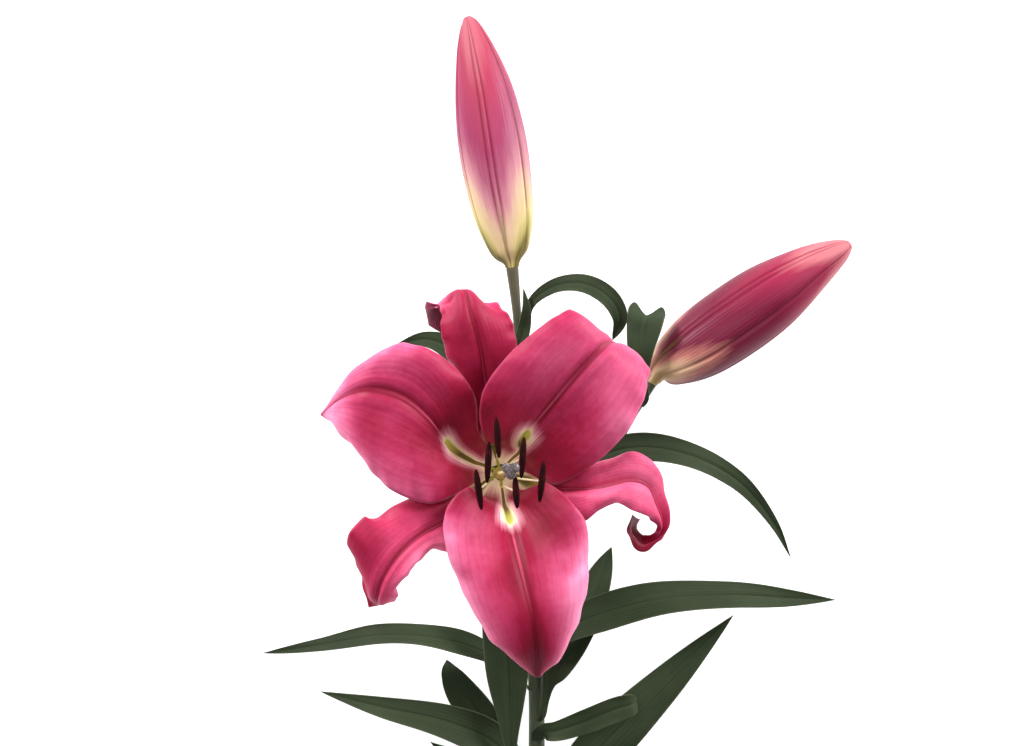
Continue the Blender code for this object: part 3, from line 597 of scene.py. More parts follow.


def tepal_face(name, length, half, furrow_end, tones, stops):
    """half is its half width where the nectar furrow ends. tones are how much lighter it grows past there,
    partly its own paling and partly painted light and shade.
    """
    finish = Finish(name + " face")
    along, share = finish.places()
    run = along * 100.0
    across = share * 2.0 - 1.0
    off = abs(across)
    space = finish.solid()
    cloud = finish.noise(space, 30.0, 3.0)
    mottle = finish.noise(space, 420.0, 3.0)
    streak, veins = finish.veined(along, across, (5.0, 1.5, 0.05), (2.6, 16.0, 1.6), 0.6, 60.0)

    left = finish.ease(across, -0.2, 0.2)
    margin = (tones["right"] + (tones["left"] - tones["right"]) * left) * (off ** 1.1)
    past_mouth = finish.ease(run + 40.0 * cloud, 0.8 * furrow_end, 1.9 * furrow_end)
    tip = finish.ease(run + 30.0 * cloud, length - TIP_RUN, length - 0.1 * TIP_RUN)
    # The tones lighten or darken margins, middle and tip: partly the tepal's own paling, partly painted light
    # and shade.
    tone = 0.2 + past_mouth * (margin + tones["middle"]) + tones["tip"] * tip
    tone = tone + 0.14 * streak + 0.7 * cloud + 0.12 * mottle
    finish.colour = finish.ramp(tone, stops)
    finish.paint((140, 8, 46), 0.1 * (veins ** 3.0))
    finish.paint((206, 110, 140), 0.2 * finish.ease(off, 0.965, 1.0))

    beyond = finish.ease(run, furrow_end, furrow_end + 8.0)
    rib = (1.0 - finish.ease(off, 0.045, 0.1)) * beyond
    finish.paint((126, 2, 34), 0.65 * rib)
    crest = (1.0 - finish.ease(off, 0.01, 0.03)) * beyond
    fading = 1.0 - finish.ease(run, furrow_end + 8.0, furrow_end + 45.0)
    finish.paint((226, 104, 140), 0.5 * crest * fading)

    past = (run - (furrow_end - 4.0)).above(0.0)
    beside = off * half
    reach = (past * past + beside * beside) ** 0.5
    rays = reach + 6.0 * streak
    finish.paint((238, 170, 186), 0.85 - 0.85 * finish.ease(rays, 0.3 * HALO, HALO))
    finish.paint((244, 230, 192), 1.0 - finish.ease(rays, 0.24 * HALO, 0.6 * HALO))
    foot = 1.0 - finish.ease(run + 20.0 * streak, 0.15 * furrow_end, 0.55 * furrow_end)
    finish.paint((250, 226, 206), 0.9 * foot)
    fresh = finish.ease(run, furrow_end - 16.0, furrow_end - 3.0)
    green = finish.blend((98, 90, 34), (196, 196, 92), fresh)
    finish.paint(green, 1.0 - finish.ease(reach, 1.5, 2.9))
    # Painted glow: deep in the throat the tepal gives off its own colour as light, which lightens the shade
    # there.
    throat = 1.0 - finish.ease(run, 0.4 * furrow_end, 0.85 * furrow_end)
    glow = finish.blend((0, 0, 0), finish.colour, PAINTED_THROAT_GLOW * throat)
    bump = finish.bump(veins * 0.3 + streak + mottle * 0.5, 0.1)
    return finish.done({
        "Roughness": 0.5 + 0.2 * streak, "Normal": bump, "Emission Color": glow, "Emission Strength": 1.0,
        "Sheen Weight": 0.2, "Sheen Roughness": 0.4, "Sheen Tint": (255, 160, 195),
        "Specular IOR Level": 0.2, **flesh(0.12, (0.006, 0.0014, 0.002)),
    })


def shaded_tepal_back():
    finish = Finish("tepal back")
    along, share = finish.places()
    across = share * 2.0 - 1.0
    off = abs(across)
    streak, veins = finish.veined(along, across, (5.0, 1.5, 0.05), (2.2, 11.0, 1.6), 0.6, 40.0)
    # The dark wine ramp is partly the back's own colour and partly painted shade, since the backs that show
    # lie in shadow under their folds.
    finish.colour = finish.ramp(0.5 + 0.4 * streak + 0.2 * off, [
        (0.2, 84, 10, 34), (0.55, 112, 24, 54), (0.9, 146, 56, 88),
    ])
    finish.paint((90, 18, 40), 0.16 * (veins ** 2.0))
    keel = (1.0 - finish.ease(off, 0.04, 0.14)) * (1.0 - finish.ease(along, 0.5, 0.9))
    finish.paint((150, 84, 92), 0.5 * keel)
    foot = 1.0 - finish.ease(along + 0.3 * streak, 0.12, 0.5)
    finish.paint((206, 206, 148), 0.85 * foot)
    bump = finish.bump(veins * 0.6 + streak, 0.2)
    light = {"Specular IOR Level": 0.15, **flesh(0.1, (0.004, 0.0016, 0.0012))}
    return finish.done({"Roughness": 0.5, "Normal": bump, **light})


# %% Make the six tepals
TEPAL_THICKNESS = 0.8
TEPAL_MARGIN = 0.4  # thickness at its margins, as a share
TEPAL_GRID = (150, 60)

PETAL_STOPS = [
    (0.0, 104, 2, 32), (0.22, 148, 14, 54), (0.45, 180, 50, 92), (0.7, 214, 92, 134),
    (1.0, 248, 144, 182),
]
SEPAL_STOPS = [
    (0.0, 94, 0, 26), (0.25, 138, 8, 48), (0.5, 172, 36, 78), (0.75, 212, 72, 114),
    (1.0, 246, 124, 162),
]
PETAL_FURROW_END = 51.0
SEPAL_FURROW_END = 34.0
# Tones of each tepal: partly its own paling, and partly painted light and shade. They are lighter where it
# turns towards the lamps, as on the crest of sepal_top, and darker where it turns away, as in the curl of
# sepal_lower_right and at the drooping tip of petal_bottom.
TEPAL_TONES_AND_PAINTED_LIGHT = {
    "petal_upper_left": {"middle": 0.1, "left": 0.6, "right": 0.15, "tip": 0.5},
    "petal_upper_right": {"middle": 0.35, "left": -0.2, "right": 0.2, "tip": 0.1},
    "petal_bottom": {"middle": -0.05, "left": 1.2, "right": 0.95, "tip": -0.35},
    "sepal_top": {"middle": 0.05, "left": 0.1, "right": 0.15, "tip": 0.9},
    "sepal_lower_left": {"middle": 0.35, "left": 0.4, "right": -0.15, "tip": 0.05},
    "sepal_lower_right": {"middle": 0.55, "left": -0.05, "right": 0.0, "tip": -0.8},
}

FINE_SHARES = np.linspace(0.0, 1.0, 400)

back = shaded_tepal_back()
for name, tepal in TEPALS.items():
    inner = name.startswith("petal")
    tube = PETAL_TUBE if inner else SEPAL_TUBE
    stops, furrow_end = (PETAL_STOPS, PETAL_FURROW_END) if inner else (SEPAL_STOPS, SEPAL_FURROW_END)
    left_line, middle_line, right_line = (curve_at(guide, FINE_SHARES) for guide in tepal_guides(tepal, tube))
    run = np.concatenate([[0.0], np.cumsum(np.linalg.norm(np.diff(middle_line, axis=0), axis=1))])
    station = int(np.searchsorted(run, furrow_end))
    half = float(np.linalg.norm(right_line[station] - left_line[station]) / 2.0)
    face = tepal_face(name.replace("_", " "), float(run[-1]), half, furrow_end, TEPAL_TONES_AND_PAINTED_LIGHT[name], stops)
    print(name, "is", round(run[-1]), "mm long from foot to tip")
    surface = tepal_surface(tepal, tube)
    add_blade(name, surface, TEPAL_GRID, TEPAL_THICKNESS, TEPAL_MARGIN, [face, back], BLOOM_BASE)

# %% [markdown]
# ## Stamens and pistil
#
# Six pale filaments rise round the pistil, and each carries an anther that balances on its middle: two
# pollen sacs with a furrow between them. The pistil is a ribbed ovary, a style and a three-lobed stigma.
# All are tubes whose section changes round them, so that ribs and furrows are real and catch the light.

# %% Places of the anthers and shape of the pistil, in millimetres
GAP = 0.3  # between pieces that would touch
# Anthers: centre measured from the receptacle, azimuth of the tepal behind it, turn of its long axis away
# from +Y, and length.
ANTHERS = [
    ((-0.5, 17.0, 75.0), 100.0, 4.0, 17.5),
    ((-4.5, 6.5, 74.0), 155.0, -3.0, 17.5),
    ((-8.5, -5.0, 73.0), 217.0, 8.0, 17.5),
    ((10.0, 8.5, 76.0), 48.0, -4.0, 17.5),
    ((7.2, -6.0, 72.0), 279.0, 4.0, 14.0),
    ((18.0, -1.5, 74.0), 344.0, -6.0, 17.5),
]
ANTHER_WIDTH = 2.9
ANTHER_HEIGHT = 2.6
ANTHER_DROOP = 0.8  # of its two ends
ANTHER_BLUNTNESS = 2.2  # 2 makes its outline an ellipse
ANTHER_FURROW = 0.22  # as a share of its height
FILAMENT_RADIUS = 0.6
FILAMENT_BOW = 0.12  # how far it bows towards the axis, as a share of its reach
FILAMENT_RING = 2.45  # radius of the ring of filaments round the pistil's foot
FILAMENT_WAIST = [(8.0, 4.3), (15.0, 5.2), (24.0, 5.8)]  # height and distance from the axis
STYLE = [  # x, y, height and radius: foot, ovary, then the style that leans a little
    (0.0, 0.0, 0.3, 1.2),
    (0.0, 0.0, 5.0, 1.5),
    (0.0, 0.0, 9.0, 2.5),
    (0.0, 0.0, 19.0, 2.7),
    (0.1, 0.0, 24.0, 1.5),
    (0.6, 0.4, 38.0, 1.2),
    (2.4, 1.6, 58.0, 1.1),
    (4.7, 3.3, 78.2, 1.3),
]
CARPELS = 3  # ribs of the ovary and lobes of the stigma
OVARY_SPAN = (0.1, 0.6)  # where the ribs run, as shares of the pistil
OVARY_FADE = 0.05  # over which the ribs begin and end
OVARY_RIB = 0.08
STIGMA_LOBE = 0.14
STIGMA_GROOVE = 0.3  # depth at the top, as a share of the radius
STIGMA_GROOVE_WIDTH = 0.08  # the smaller, the narrower
STIGMA_TURN = 0.5  # radians
STIGMA_CENTRE = (5.0, 3.5, 80.2)
STIGMA_RADIUS = 3.5
STIGMA_HEIGHT = 3.4
print("anthers:", len(ANTHERS), "and a pistil", round(STIGMA_CENTRE[2] + STIGMA_HEIGHT / 2.0, 1), "mm high")

# %% [markdown]
# ### Colours of the heart
#
# Filaments and style are moist and go from yellow-green at the foot to a rosy white or grey at the top, so
# their colour follows the height. The anthers are mealy with dark pollen, and the stigma is grey and sticky:
# both get a bump of noise, matt and fine for the pollen, glossy and coarser for the stigma.


# %% Finishes of the bloom's heart
def moist_finish(name, low, span, tint, grain, roughness, stops):
    """Its colour changes with height, from low on. tint is scale, detail and weight, grain scale, depth."""
    finish = Finish(name)
    space = finish.solid()
    scale, detail, weight = tint
    rise = (finish.axis(space, 2) - low) / span + weight * finish.noise(space, scale, detail)
    finish.colour = finish.ramp(rise, stops)
    bump = finish.bump(finish.noise(space, grain[0]), grain[1])
    return finish.done({"Roughness": roughness, "Normal": bump, **flesh(0.1, (0.002, 0.002, 0.001))})


def mealy_finish(name, grain, patch, depth, shine, stops):
    """Grains in darker and lighter patches. grain is scale, detail and roughness, patch scale and weight."""
    finish = Finish(name)
    space = finish.solid()
    grains = finish.noise(space, *grain)
    tone = 0.5 + 0.8 * grains + patch[1] * finish.noise(space, patch[0])
    finish.colour = finish.ramp(tone, stops)
    return finish.done({"Normal": finish.bump(grains, depth), **shine})


filament_material = moist_finish("filament", 0.04, 0.07, (400.0, 2.0, 1.0), (2500.0, 0.05), 0.45, [
    (0.1, 214, 224, 104), (0.6, 232, 234, 170), (1.0, 238, 212, 196),
])
pistil_material = moist_finish("pistil", 0.038, 0.08, (260.0, 3.0, 0.4), (900.0, 0.08), 0.4, [
    (0.1, 228, 238, 112), (0.4, 230, 236, 134), (0.75, 224, 222, 160), (1.0, 176, 150, 150),
])
matt = {"Roughness": 0.8, "Specular IOR Level": 0.1}
anther_material = mealy_finish("anther", (3200.0, 3.0, 0.7), (330.0, 0.9), 0.18, matt, [
    (0.2, 18, 0, 2), (0.55, 38, 2, 6), (0.9, 76, 12, 14),
])
sticky = {"Roughness": 0.25}
stigma_material = mealy_finish("stigma", (1500.0, 2.0, 0.5), (420.0, 0.8), 0.25, sticky, [
    (0.2, 52, 42, 44), (0.55, 92, 80, 82), (0.9, 150, 138, 138),
])


# %% Filaments and anthers
FILAMENT_GRID = (60, 16)
ANTHER_GRID = (72, 40)
FURROW_DEEPENING = 1.6  # what a fine grid allows, against the frame
FURROW_WIDTH = 0.28  # as a share of an anther's width


def filament_surface(centre, azimuth):
    """A filament from the ring round the pistil's foot to just under its anther."""
    angle = math.radians(azimuth)
    outward = np.array([math.cos(angle), math.sin(angle), 0.0])
    foot = outward * FILAMENT_RING + (0.0, 0.0, GAP)
    waist = [outward * distance + (0.0, 0.0, height) for height, distance in FILAMENT_WAIST]
    top = centre - (0.0, 0.0, ANTHER_HEIGHT / 2.0 + GAP / 2.0)
    bend = (waist[-1] + top) / 2.0 - FILAMENT_BOW * top * (1.0, 1.0, 0.0)
    route = [(*point, FILAMENT_RADIUS) for point in (foot, *waist, bend, top)]

    def tapered(angle, u):
        return (1.25 - 0.55 * u) * rounded_ends(u, 0.0, 0.01)

    return tube_surface(route, tapered)


def anther_surface(centre, turn, length):
    """Two pollen sacs side by side, drooping a little towards both ends."""
    lean = math.radians(90.0 + turn)
    direction = np.array([math.cos(lean), math.sin(lean), 0.0])
    spine = []
    for s in np.linspace(-1.0, 1.0, 9):
        place = centre + direction * s * length / 2.0 - (0.0, 0.0, ANTHER_DROOP * s * s)
        spine.append((*place, 1.0))

    def lobed(angle, u):
        s = 2.0 * u - 1.0
        width = np.maximum(1.0 - np.abs(s) ** ANTHER_BLUNTNESS, 0.0) ** 0.5
        crossways = np.hypot(ANTHER_WIDTH / 2.0 * np.cos(angle), ANTHER_HEIGHT / 2.0 * np.sin(angle))
        furrow = ANTHER_FURROW * FURROW_DEEPENING * hump(np.cos(angle), FURROW_WIDTH)
        return crossways * (1.0 - furrow) * width

    return tube_surface(spine, lobed)


for number, (centre, azimuth, turn, length) in enumerate(ANTHERS, start=1):
    centre = np.array(centre)
    thread = filament_surface(centre, azimuth)
    sacs = anther_surface(centre, turn, length)
    add_tube(f"filament_{number}", "thread", thread, FILAMENT_GRID, filament_material, BLOOM_BASE)
    add_tube(f"anther_{number}", "sacs", sacs, ANTHER_GRID, anther_material, BLOOM_BASE)


# %% Pistil and stigma
def ribbed(angle, u):
    first, last = OVARY_SPAN
    ovary = smoothstep((u - first) / OVARY_FADE) * (1.0 - smoothstep((u - last) / OVARY_FADE))
    ribs = OVARY_RIB * (np.cos(CARPELS * angle) + 0.5 * np.cos(2 * CARPELS * angle))
    return (1.0 + ribs * ovary) * rounded_ends(u, 0.0, 0.0)


# Height above its centre and radius of the stigma, as shares of its height and its radius.
STIGMA_PROFILE = [(-0.5, 0.35), (-0.42, 0.62), (-0.1, 0.95), (0.2, 1.0), (0.42, 0.8), (0.5, 0.4)]
PISTIL_GRID = (120, 48)
STIGMA_GRID = (48, 96)


def cushion(angle, u):
    """Three lobes with a groove between each two, which deepens towards the top."""
    lobes = STIGMA_LOBE * np.cos(CARPELS * (angle - STIGMA_TURN))
    between = np.sin(CARPELS * (angle - STIGMA_TURN) / 2.0) ** 2 - 1.0
    groove = STIGMA_GROOVE * u * hump(between, STIGMA_GROOVE_WIDTH)
    return (1.0 + lobes - groove) * rounded_ends(u, 0.0, 0.12)


stigma_x, stigma_y, stigma_z = STIGMA_CENTRE
stigma_route = [
    (stigma_x, stigma_y, stigma_z + STIGMA_HEIGHT * height, STIGMA_RADIUS * radius)
    for height, radius in STIGMA_PROFILE
]
style = tube_surface(STYLE, ribbed)
lobes = tube_surface(stigma_route, cushion)
add_tube("pistil", "style", style, PISTIL_GRID, pistil_material, BLOOM_BASE)
add_tube("stigma", "cushion", lobes, STIGMA_GRID, stigma_material, BLOOM_BASE)

# %% [markdown]
# ## The green parts: stem and pedicels
#
# The stem carries the leaves, and two side stems, the pedicels, carry the bloom and the right bud. Where
# they fork, the real stem has a soft web and no crease. Three tubes that only cross would show a crease, so
# they are voxel-remeshed into one body and smoothed, which gives that web. Fine fibres run along the skin:
# noise that is drawn out along the stem. Past the bloom the green turns brownish.

# %% Routes, in millimetres
RECEPTACLE_RADIUS = 5.9

# Routes of the green parts, from the cut end up: x, y, z and radius.
MAIN_STEM = [
    (-8.0, -209.0, 4.2, 4.3),
    (-8.1, -182.0, 4.2, 4.1),
    (-8.4, -147.0, 4.4, 3.9),
    (-8.7, -122.0, 5.0, 3.7),
    (-8.8, -101.0, 6.2, 3.6),
    (-10.0, -75.0, 8.6, 3.6),
    (-12.8, -37.0, 11.0, 3.3),
    (-15.5, 5.0, 13.5, 2.5),
    (-16.2, 40.0, 16.0, 2.2),
    (-17.6, 72.0, 18.4, 2.0),
    (-20.0, 96.5, 19.6, 2.9),
]
BLOOM_PEDICEL = [
    (-11.2, -58.0, 9.9, 2.0),
    (-15.5, -42.0, 14.5, 2.6),
    (-20.5, -20.0, 20.0, 2.5),
    (-24.6, -2.5, 27.0, 2.6),
    (-25.5, 3.6, 33.5, 3.6),
    (-25.5, 4.0, 37.7, RECEPTACLE_RADIUS),
]
RIGHT_PEDICEL = [
    (-12.5, -42.0, 10.7, 1.8),
    (-6.0, -25.0, 14.5, 2.4),
    (8.5, -5.0, 17.5, 2.3),
    (24.5, 13.0, 18.8, 2.2),
    (36.0, 32.0, 19.0, 2.2),
    (43.0, 44.2, 18.6, 3.0),
]
print("stem from y", MAIN_STEM[0][1], "to", MAIN_STEM[-1][1], "mm, with 2 pedicels")

# %% Finish of the stem
FIBRE_STRETCH = (1.0, 0.12, 1.0)  # the fibres run along the stem


def stem_finish():
    finish = Finish("stem")
    space = finish.solid()
    height = finish.axis(space, 1)
    stretched = finish.node("ShaderNodeVectorMath", {"operation": "MULTIPLY"}, {0: space, 1: FIBRE_STRETCH})
    fibre = finish.noise(stretched, 900.0, 3.0, 0.6)
    patch = finish.noise(space, 60.0, 3.0)
    finish.colour = finish.ramp(0.5 + 0.7 * fibre + 0.8 * patch, [
        (0.15, 36, 44, 28), (0.5, 54, 64, 42), (0.85, 80, 88, 60),
    ])
    brown = finish.ease(height + 0.2 * patch, 0.02, 0.09)
    finish.paint((82, 76, 54), 0.7 * brown)
    return finish.done({"Roughness": 0.5 + 0.3 * fibre, "Normal": finish.bump(fibre, 0.25)})


# %% One body for stem and pedicels
STEM_VOXEL = 0.55
STEM_SIDES = 40
STEM_RINGS = 300
PEDICEL_RINGS = (90, 120)


def flat_cut(angle, u):
    return rounded_ends(u, 0.0, 0.0) * np.ones_like(angle)


def make_stem():
    whole = bmesh.new()
    rings = (STEM_RINGS, *PEDICEL_RINGS)
    for route, along in zip((MAIN_STEM, BLOOM_PEDICEL, RIGHT_PEDICEL), rings):
        tube = rolled(tube_surface(route, flat_cut), along, STEM_SIDES)
        part = mesh_of("part", tube)
        whole.from_mesh(part)
        bpy.data.meshes.remove(part)
    draft = add_object("rough stem", mesh_of("rough stem", whole))
    remesh = draft.modifiers.new("web", "REMESH")
    remesh.mode = "VOXEL"
    remesh.voxel_size = STEM_VOXEL * MM
    smooth = draft.modifiers.new("soften", "SMOOTH")
    smooth.factor = 0.5
    smooth.iterations = 4
    bpy.context.view_layer.update()
    graph = bpy.context.evaluated_depsgraph_get()
    bm = bmesh.new()
    bm.from_object(draft, graph)
    bpy.data.objects.remove(draft)
    return bm


finished_piece("stem_skin", make_stem(), [stem_finish()], "stem")

# %% [markdown]
# ## The closed buds
#
# Three sepals wrap a bud. Each has a keel down its middle, a rib with a furrow on either side, and where two
# sepals meet there is a seam that bites a little deeper. Three separate sepals would have to be fitted edge
# to edge, so the bud is one tube, and its section carries the keels and the seams. It is green or cream at
# the foot and pink above, and along each keel the pink starts lower down.

# %% Buds, in millimetres
# Closed buds, past their seat on the pedicel, to the tip: x, y, z and radius.
TOP_BUD = [
    (-20.9, 102.0, 19.2, 7.9),
    (-21.8, 108.5, 18.2, 10.6),
    (-23.4, 119.5, 16.8, 13.4),
    (-26.4, 137.5, 16.0, 15.2),
    (-29.3, 156.0, 15.8, 15.3),
    (-32.6, 176.0, 15.8, 13.1),
    (-36.4, 194.0, 15.8, 8.8),
    (-38.9, 205.0, 16.2, 4.7),
    (-40.6, 209.6, 16.5, 1.4),
]
RIGHT_BUD = [
    (46.0, 48.8, 18.4, 6.2),
    (51.8, 52.2, 17.9, 11.0),
    (64.0, 59.7, 17.2, 15.4),
    (79.9, 70.3, 17.1, 16.8),
    (97.6, 82.6, 16.8, 15.8),
    (115.8, 95.4, 16.2, 10.8),
    (128.4, 103.3, 16.3, 5.7),
    (133.6, 106.6, 16.5, 1.6),
]
BUD_SEAMS = 3  # grooves between the three sepals that wrap a bud
BUD_SUNK = 1.0  # how far its foot is sunk over the end of the pedicel
BUD_NECK = 1.5  # from the pedicel's end to where the bud widens
BUD_NECK_WIDENING = 1.35
SEPAL_ROUNDING = 0.03  # how much each sepal of the bud bulges, as a share of its radius
KEEL_FURROW = 0.05  # depth of the furrows beside a keel, as a share of the radius
KEEL_FURROW_WIDTH = 0.045  # in radians, as the next two are
KEEL_SPREAD = 0.085  # from the keel to its furrows
SEAM_WIDTH = 0.07
SEAM_DEPTH = 0.07  # as a share of the radius
for bud in (TOP_BUD, RIGHT_BUD):
    print("a bud", 2.0 * max(point[3] for point in bud), "mm thick")


def bud_surface(pedicel, route, keel_turn):
    end = np.array(pedicel[-1][:3])
    climb = unit(end - np.array(pedicel[-2][:3]))
    radius = pedicel[-1][3]
    seat = [(*(end - climb * BUD_SUNK), radius), (*(end + climb * BUD_NECK), radius * BUD_NECK_WIDENING)]

    def folded(angle, u):
        third = 2.0 * math.pi / BUD_SEAMS
        from_keel = np.mod(angle - keel_turn + third / 2.0, third) - third / 2.0
        from_seam = third / 2.0 - np.abs(from_keel)
        body = np.sin(math.pi * np.clip(u, 0.0, 1.0)) ** 0.5
        furrows = KEEL_FURROW * hump(np.abs(from_keel) - KEEL_SPREAD, KEEL_FURROW_WIDTH)
        seam = SEAM_DEPTH * hump(from_seam, SEAM_WIDTH)
        rounding = SEPAL_ROUNDING * np.cos(2.0 * math.pi * from_keel / third)
        return (1.0 - rounding - (furrows + seam) * body) * rounded_ends(u, 0.0, 0.012)

    return tube_surface(seat + route, folded)


# %% Finish of a bud
def bud_finish(name, length, keel_turn, stops):
    """Cream and green at the foot, with the pink running down further along each keel."""
    finish = Finish(name)
    run, around = finish.places()
    along = run * (100.0 / length)
    space = finish.solid()
    turned = (around * (2.0 * math.pi) - keel_turn) * float(BUD_SEAMS)
    keel = turned.wave() * 0.5 + 0.5
    streak = finish.noise(finish.vector(along * 3.0, around * 30.0), 1.3, 4.0, 0.6)
    cloud = finish.noise(space, 60.0, 3.0)
    veins = ((around + 0.004 * cloud) * 420.0).wave() * 0.5 + 0.5
    reach = along + 0.24 * (keel - 0.6) + 0.2 * streak + 0.06 * cloud
    finish.colour = finish.ramp(reach, stops)
    finish.paint((140, 34, 74), 0.06 * veins + 0.4 * streak.above(0.0))
    low = 1.0 - finish.ease(along, 0.16, 0.34)
    furrow = finish.ease(keel, 0.93, 0.975) * (1.0 - finish.ease(keel, 0.985, 0.998))
    finish.paint((124, 20, 52), 0.5 * furrow * (1.0 - low))
    line = finish.ease(keel, 0.97, 0.995)
    finish.paint((120, 112, 52), 0.7 * line * low)
    seam = 1.0 - finish.ease(keel, 0.0, 0.008)
    finish.paint((104, 14, 38), 0.7 * seam * (1.0 - low))
    bump = finish.bump(veins * 0.3 + streak, 0.15)
    light = {"Specular IOR Level": 0.18, **flesh(0.08, (0.004, 0.002, 0.0015))}
    return finish.done({"Roughness": 0.42 + 0.2 * streak, "Normal": bump, **light})


# %% Make the two buds
BUD_GRID = (180, 240)
TOP_LENGTH = 112.0
TOP_KEEL = math.radians(99.0)  # how far round it the first keel stands
TOP_STOPS = [
    (0.0, 116, 108, 54), (0.05, 176, 168, 100), (0.13, 216, 200, 142),
    (0.25, 216, 184, 156), (0.34, 202, 142, 148), (0.47, 170, 92, 118),
    (0.6, 160, 62, 98), (0.85, 172, 60, 86), (1.0, 188, 96, 110),
]
RIGHT_LENGTH = 106.0
RIGHT_KEEL = math.radians(126.0)
RIGHT_STOPS = [
    (0.0, 186, 156, 110), (0.08, 232, 196, 160), (0.2, 188, 120, 110),
    (0.32, 108, 28, 52), (0.55, 108, 18, 48), (0.85, 146, 38, 68),
    (1.0, 190, 110, 116),
]

for name, pedicel, route, length, keel, stops in (
    ("bud_top", MAIN_STEM, TOP_BUD, TOP_LENGTH, TOP_KEEL, TOP_STOPS),
    ("bud_right", RIGHT_PEDICEL, RIGHT_BUD, RIGHT_LENGTH, RIGHT_KEEL, RIGHT_STOPS),
):
    finish = bud_finish(name, length, keel, stops)
    add_tube(name, "sepals", bud_surface(pedicel, route, keel), BUD_GRID, finish)

# %% [markdown]
# ## The leaves
#
# Lily leaves clasp the stem, channel up beside their midrib and bend over. Each is a blade on one midrib
# line, and its width follows a formula: guides for both margins would be three times the work for a shape
# that differs little from leaf to leaf. Veins run side by side from foot to tip. The face is dark green and
# the back paler, and the midrib and a thin edge are paler on both.

# %% Leaves, in millimetres and degrees
def leaf_row(node, side, half, base, widest, midrib, **more):
    """The values of a leaf by their names."""
    shape = {"node": node, "side": side, "half": half, "base": base, "widest": widest, "midrib": midrib}
    return {**shape, **more}


# Leaves. Each has its node: how far along the main stem from the cut end, and on which side, with 0 at +X
# and 90 on top. Then its half width, its width at the node and its widest place as shares, and its midrib
# past the node as x, y, z and roll. Roll turns the blade about its midrib: at 0 it lies level. Some have a
# stalk, the share of the length that stays narrow, or a taper of their own.
LEAVES = {
    "leaf_01": leaf_row(113, 158, 6.8, 0.3, 0.48, [
        (-30, -80, 15.5, -40), (-52.5, -72.2, 20, -45), (-79.5, -70.8, 18.5, -45),
        (-107.5, -76, 9.5, -35), (-134.5, -80.5, 1.3, 0),
    ], stalk=0.15),
    "leaf_02": leaf_row(66, 160, 8.8, 0.28, 0.5, [
        (-22, -127, 8, -12), (-33, -117.5, 11.5, -14), (-52.5, -109.5, 15, -15), (-80, -103.8, 12.5, -15),
        (-108, -98, 1.3, 0),
    ]),
    "leaf_03": leaf_row(54, 130, 10.0, 0.18, 0.72, [
        (-18, -138, 12, -10), (-20.5, -122.5, 15.5, -8), (-21.6, -101, 19, -8), (-22.8, -81.5, 23, -8),
        (-26.6, -58.5, 26, -10), (-31.5, -36.5, 24, -10),
    ], stalk=0.36),
    "leaf_04": leaf_row(56, 186, 7.9, 0.28, 0.55, [
        (-21, -130, 4, 2), (-32, -112, 5.2, 6), (-43, -97, 7.5, 8), (-48, -89, 6.5, 5), (-50, -83, 3, 0),
    ]),
    "leaf_05": leaf_row(99, 60, 8.2, 0.2, 0.58, [
        (-3.4, -94, 12.5, 10), (0.2, -86.5, 13.5, 12), (7.2, -73, 14.5, 15), (14.2, -58.5, 13.5, 12),
        (20.3, -44, 9, 8), (25.6, -31.5, 4, 0),
    ], stalk=0.18, taper=2.6),
    "leaf_06": leaf_row(126, 85, 9.0, 0.28, 0.52, [
        (-4.5, -74, 19, 28), (4, -68, 23, 32), (19.5, -61, 26, 32), (46.5, -54, 27.5, 32),
        (78.5, -52.5, 21, 28), (106.5, -54.5, 10.5, 10), (128.5, -56, 1.3, 0),
    ], stalk=0.1),
    "leaf_07": leaf_row(50, 5, 11.4, 0.2, 0.5, [
        (6, -141.5, 7, 10), (19, -125, 10, 12), (38.5, -104.5, 12, 12), (60, -83.5, 8, 8),
        (81.5, -63, 1.3, 0),
    ]),
    "leaf_08": leaf_row(90, 66, 5.5, 0.64, 0.6, [
        (1, -114.3, 15, 12), (13, -109.4, 22, 12), (24.5, -104, 27, 6), (33, -101, 28, 0),
        (36.8, -100.4, 24, 0),
    ], taper=4.0),
    "leaf_09": leaf_row(34, 180, 6.5, 0.24, 0.45, [
        (-23.5, -165, 5.5, -6), (-43.5, -132, 6, -8), (-57.5, -121, 1.3, 0),
    ]),
    "leaf_10": leaf_row(268, 35, 4.4, 0.28, 0.6, [
        (-12, 78, 25, 20), (-1.5, 86.5, 31, 25), (11.5, 87.8, 37, 20), (22.6, 82, 39, 10),
        (28.2, 72.5, 36, 0), (25, 62.5, 29, 0),
    ], stalk=0.14, taper=3.2),
    "leaf_11": leaf_row(263, 105, 3.0, 0.5, 0.4, [
        (-14.6, 68, 24, 0), (-13.6, 77, 27.5, 0), (-14.8, 86, 28, 0),
    ]),
    "leaf_12": leaf_row(216, 150, 6.5, 0.32, 0.45, [
        (-30, 41, 22, -10), (-45, 57, 28, -15), (-58.5, 63, 28, -15), (-74, 60, 22, 0),
    ]),
    "leaf_13": leaf_row(184, 15, 6.6, 0.32, 0.45, [
        (0, -4.5, 21, 10), (15, 8, 29, 15), (28.5, 13.5, 34, 18), (42.5, 14.5, 36, 20),
        (58, 11.5, 34, 20), (73, 5, 30, 18), (86.5, -5, 22, 12), (99.5, -21, 11, 5), (108, -37, 1.3, 0),
    ]),
    "leaf_14": leaf_row(22, 8, 7.6, 0.3, 0.45, [
        (7, -180, 6, 10), (36, -169, 9, 12), (62, -167, 5.5, 8), (84, -169, 1.3, 0),
    ]),
    "leaf_15": leaf_row(14, 172, 7.2, 0.3, 0.45, [
        (-25, -187, 6, -10), (-54, -177, 8.5, -12), (-78, -176, 5, -8), (-96, -179, 1.3, 0),
    ]),
}
CHANNEL = 0.22  # how far a leaf's margins rise, as a share of its half width
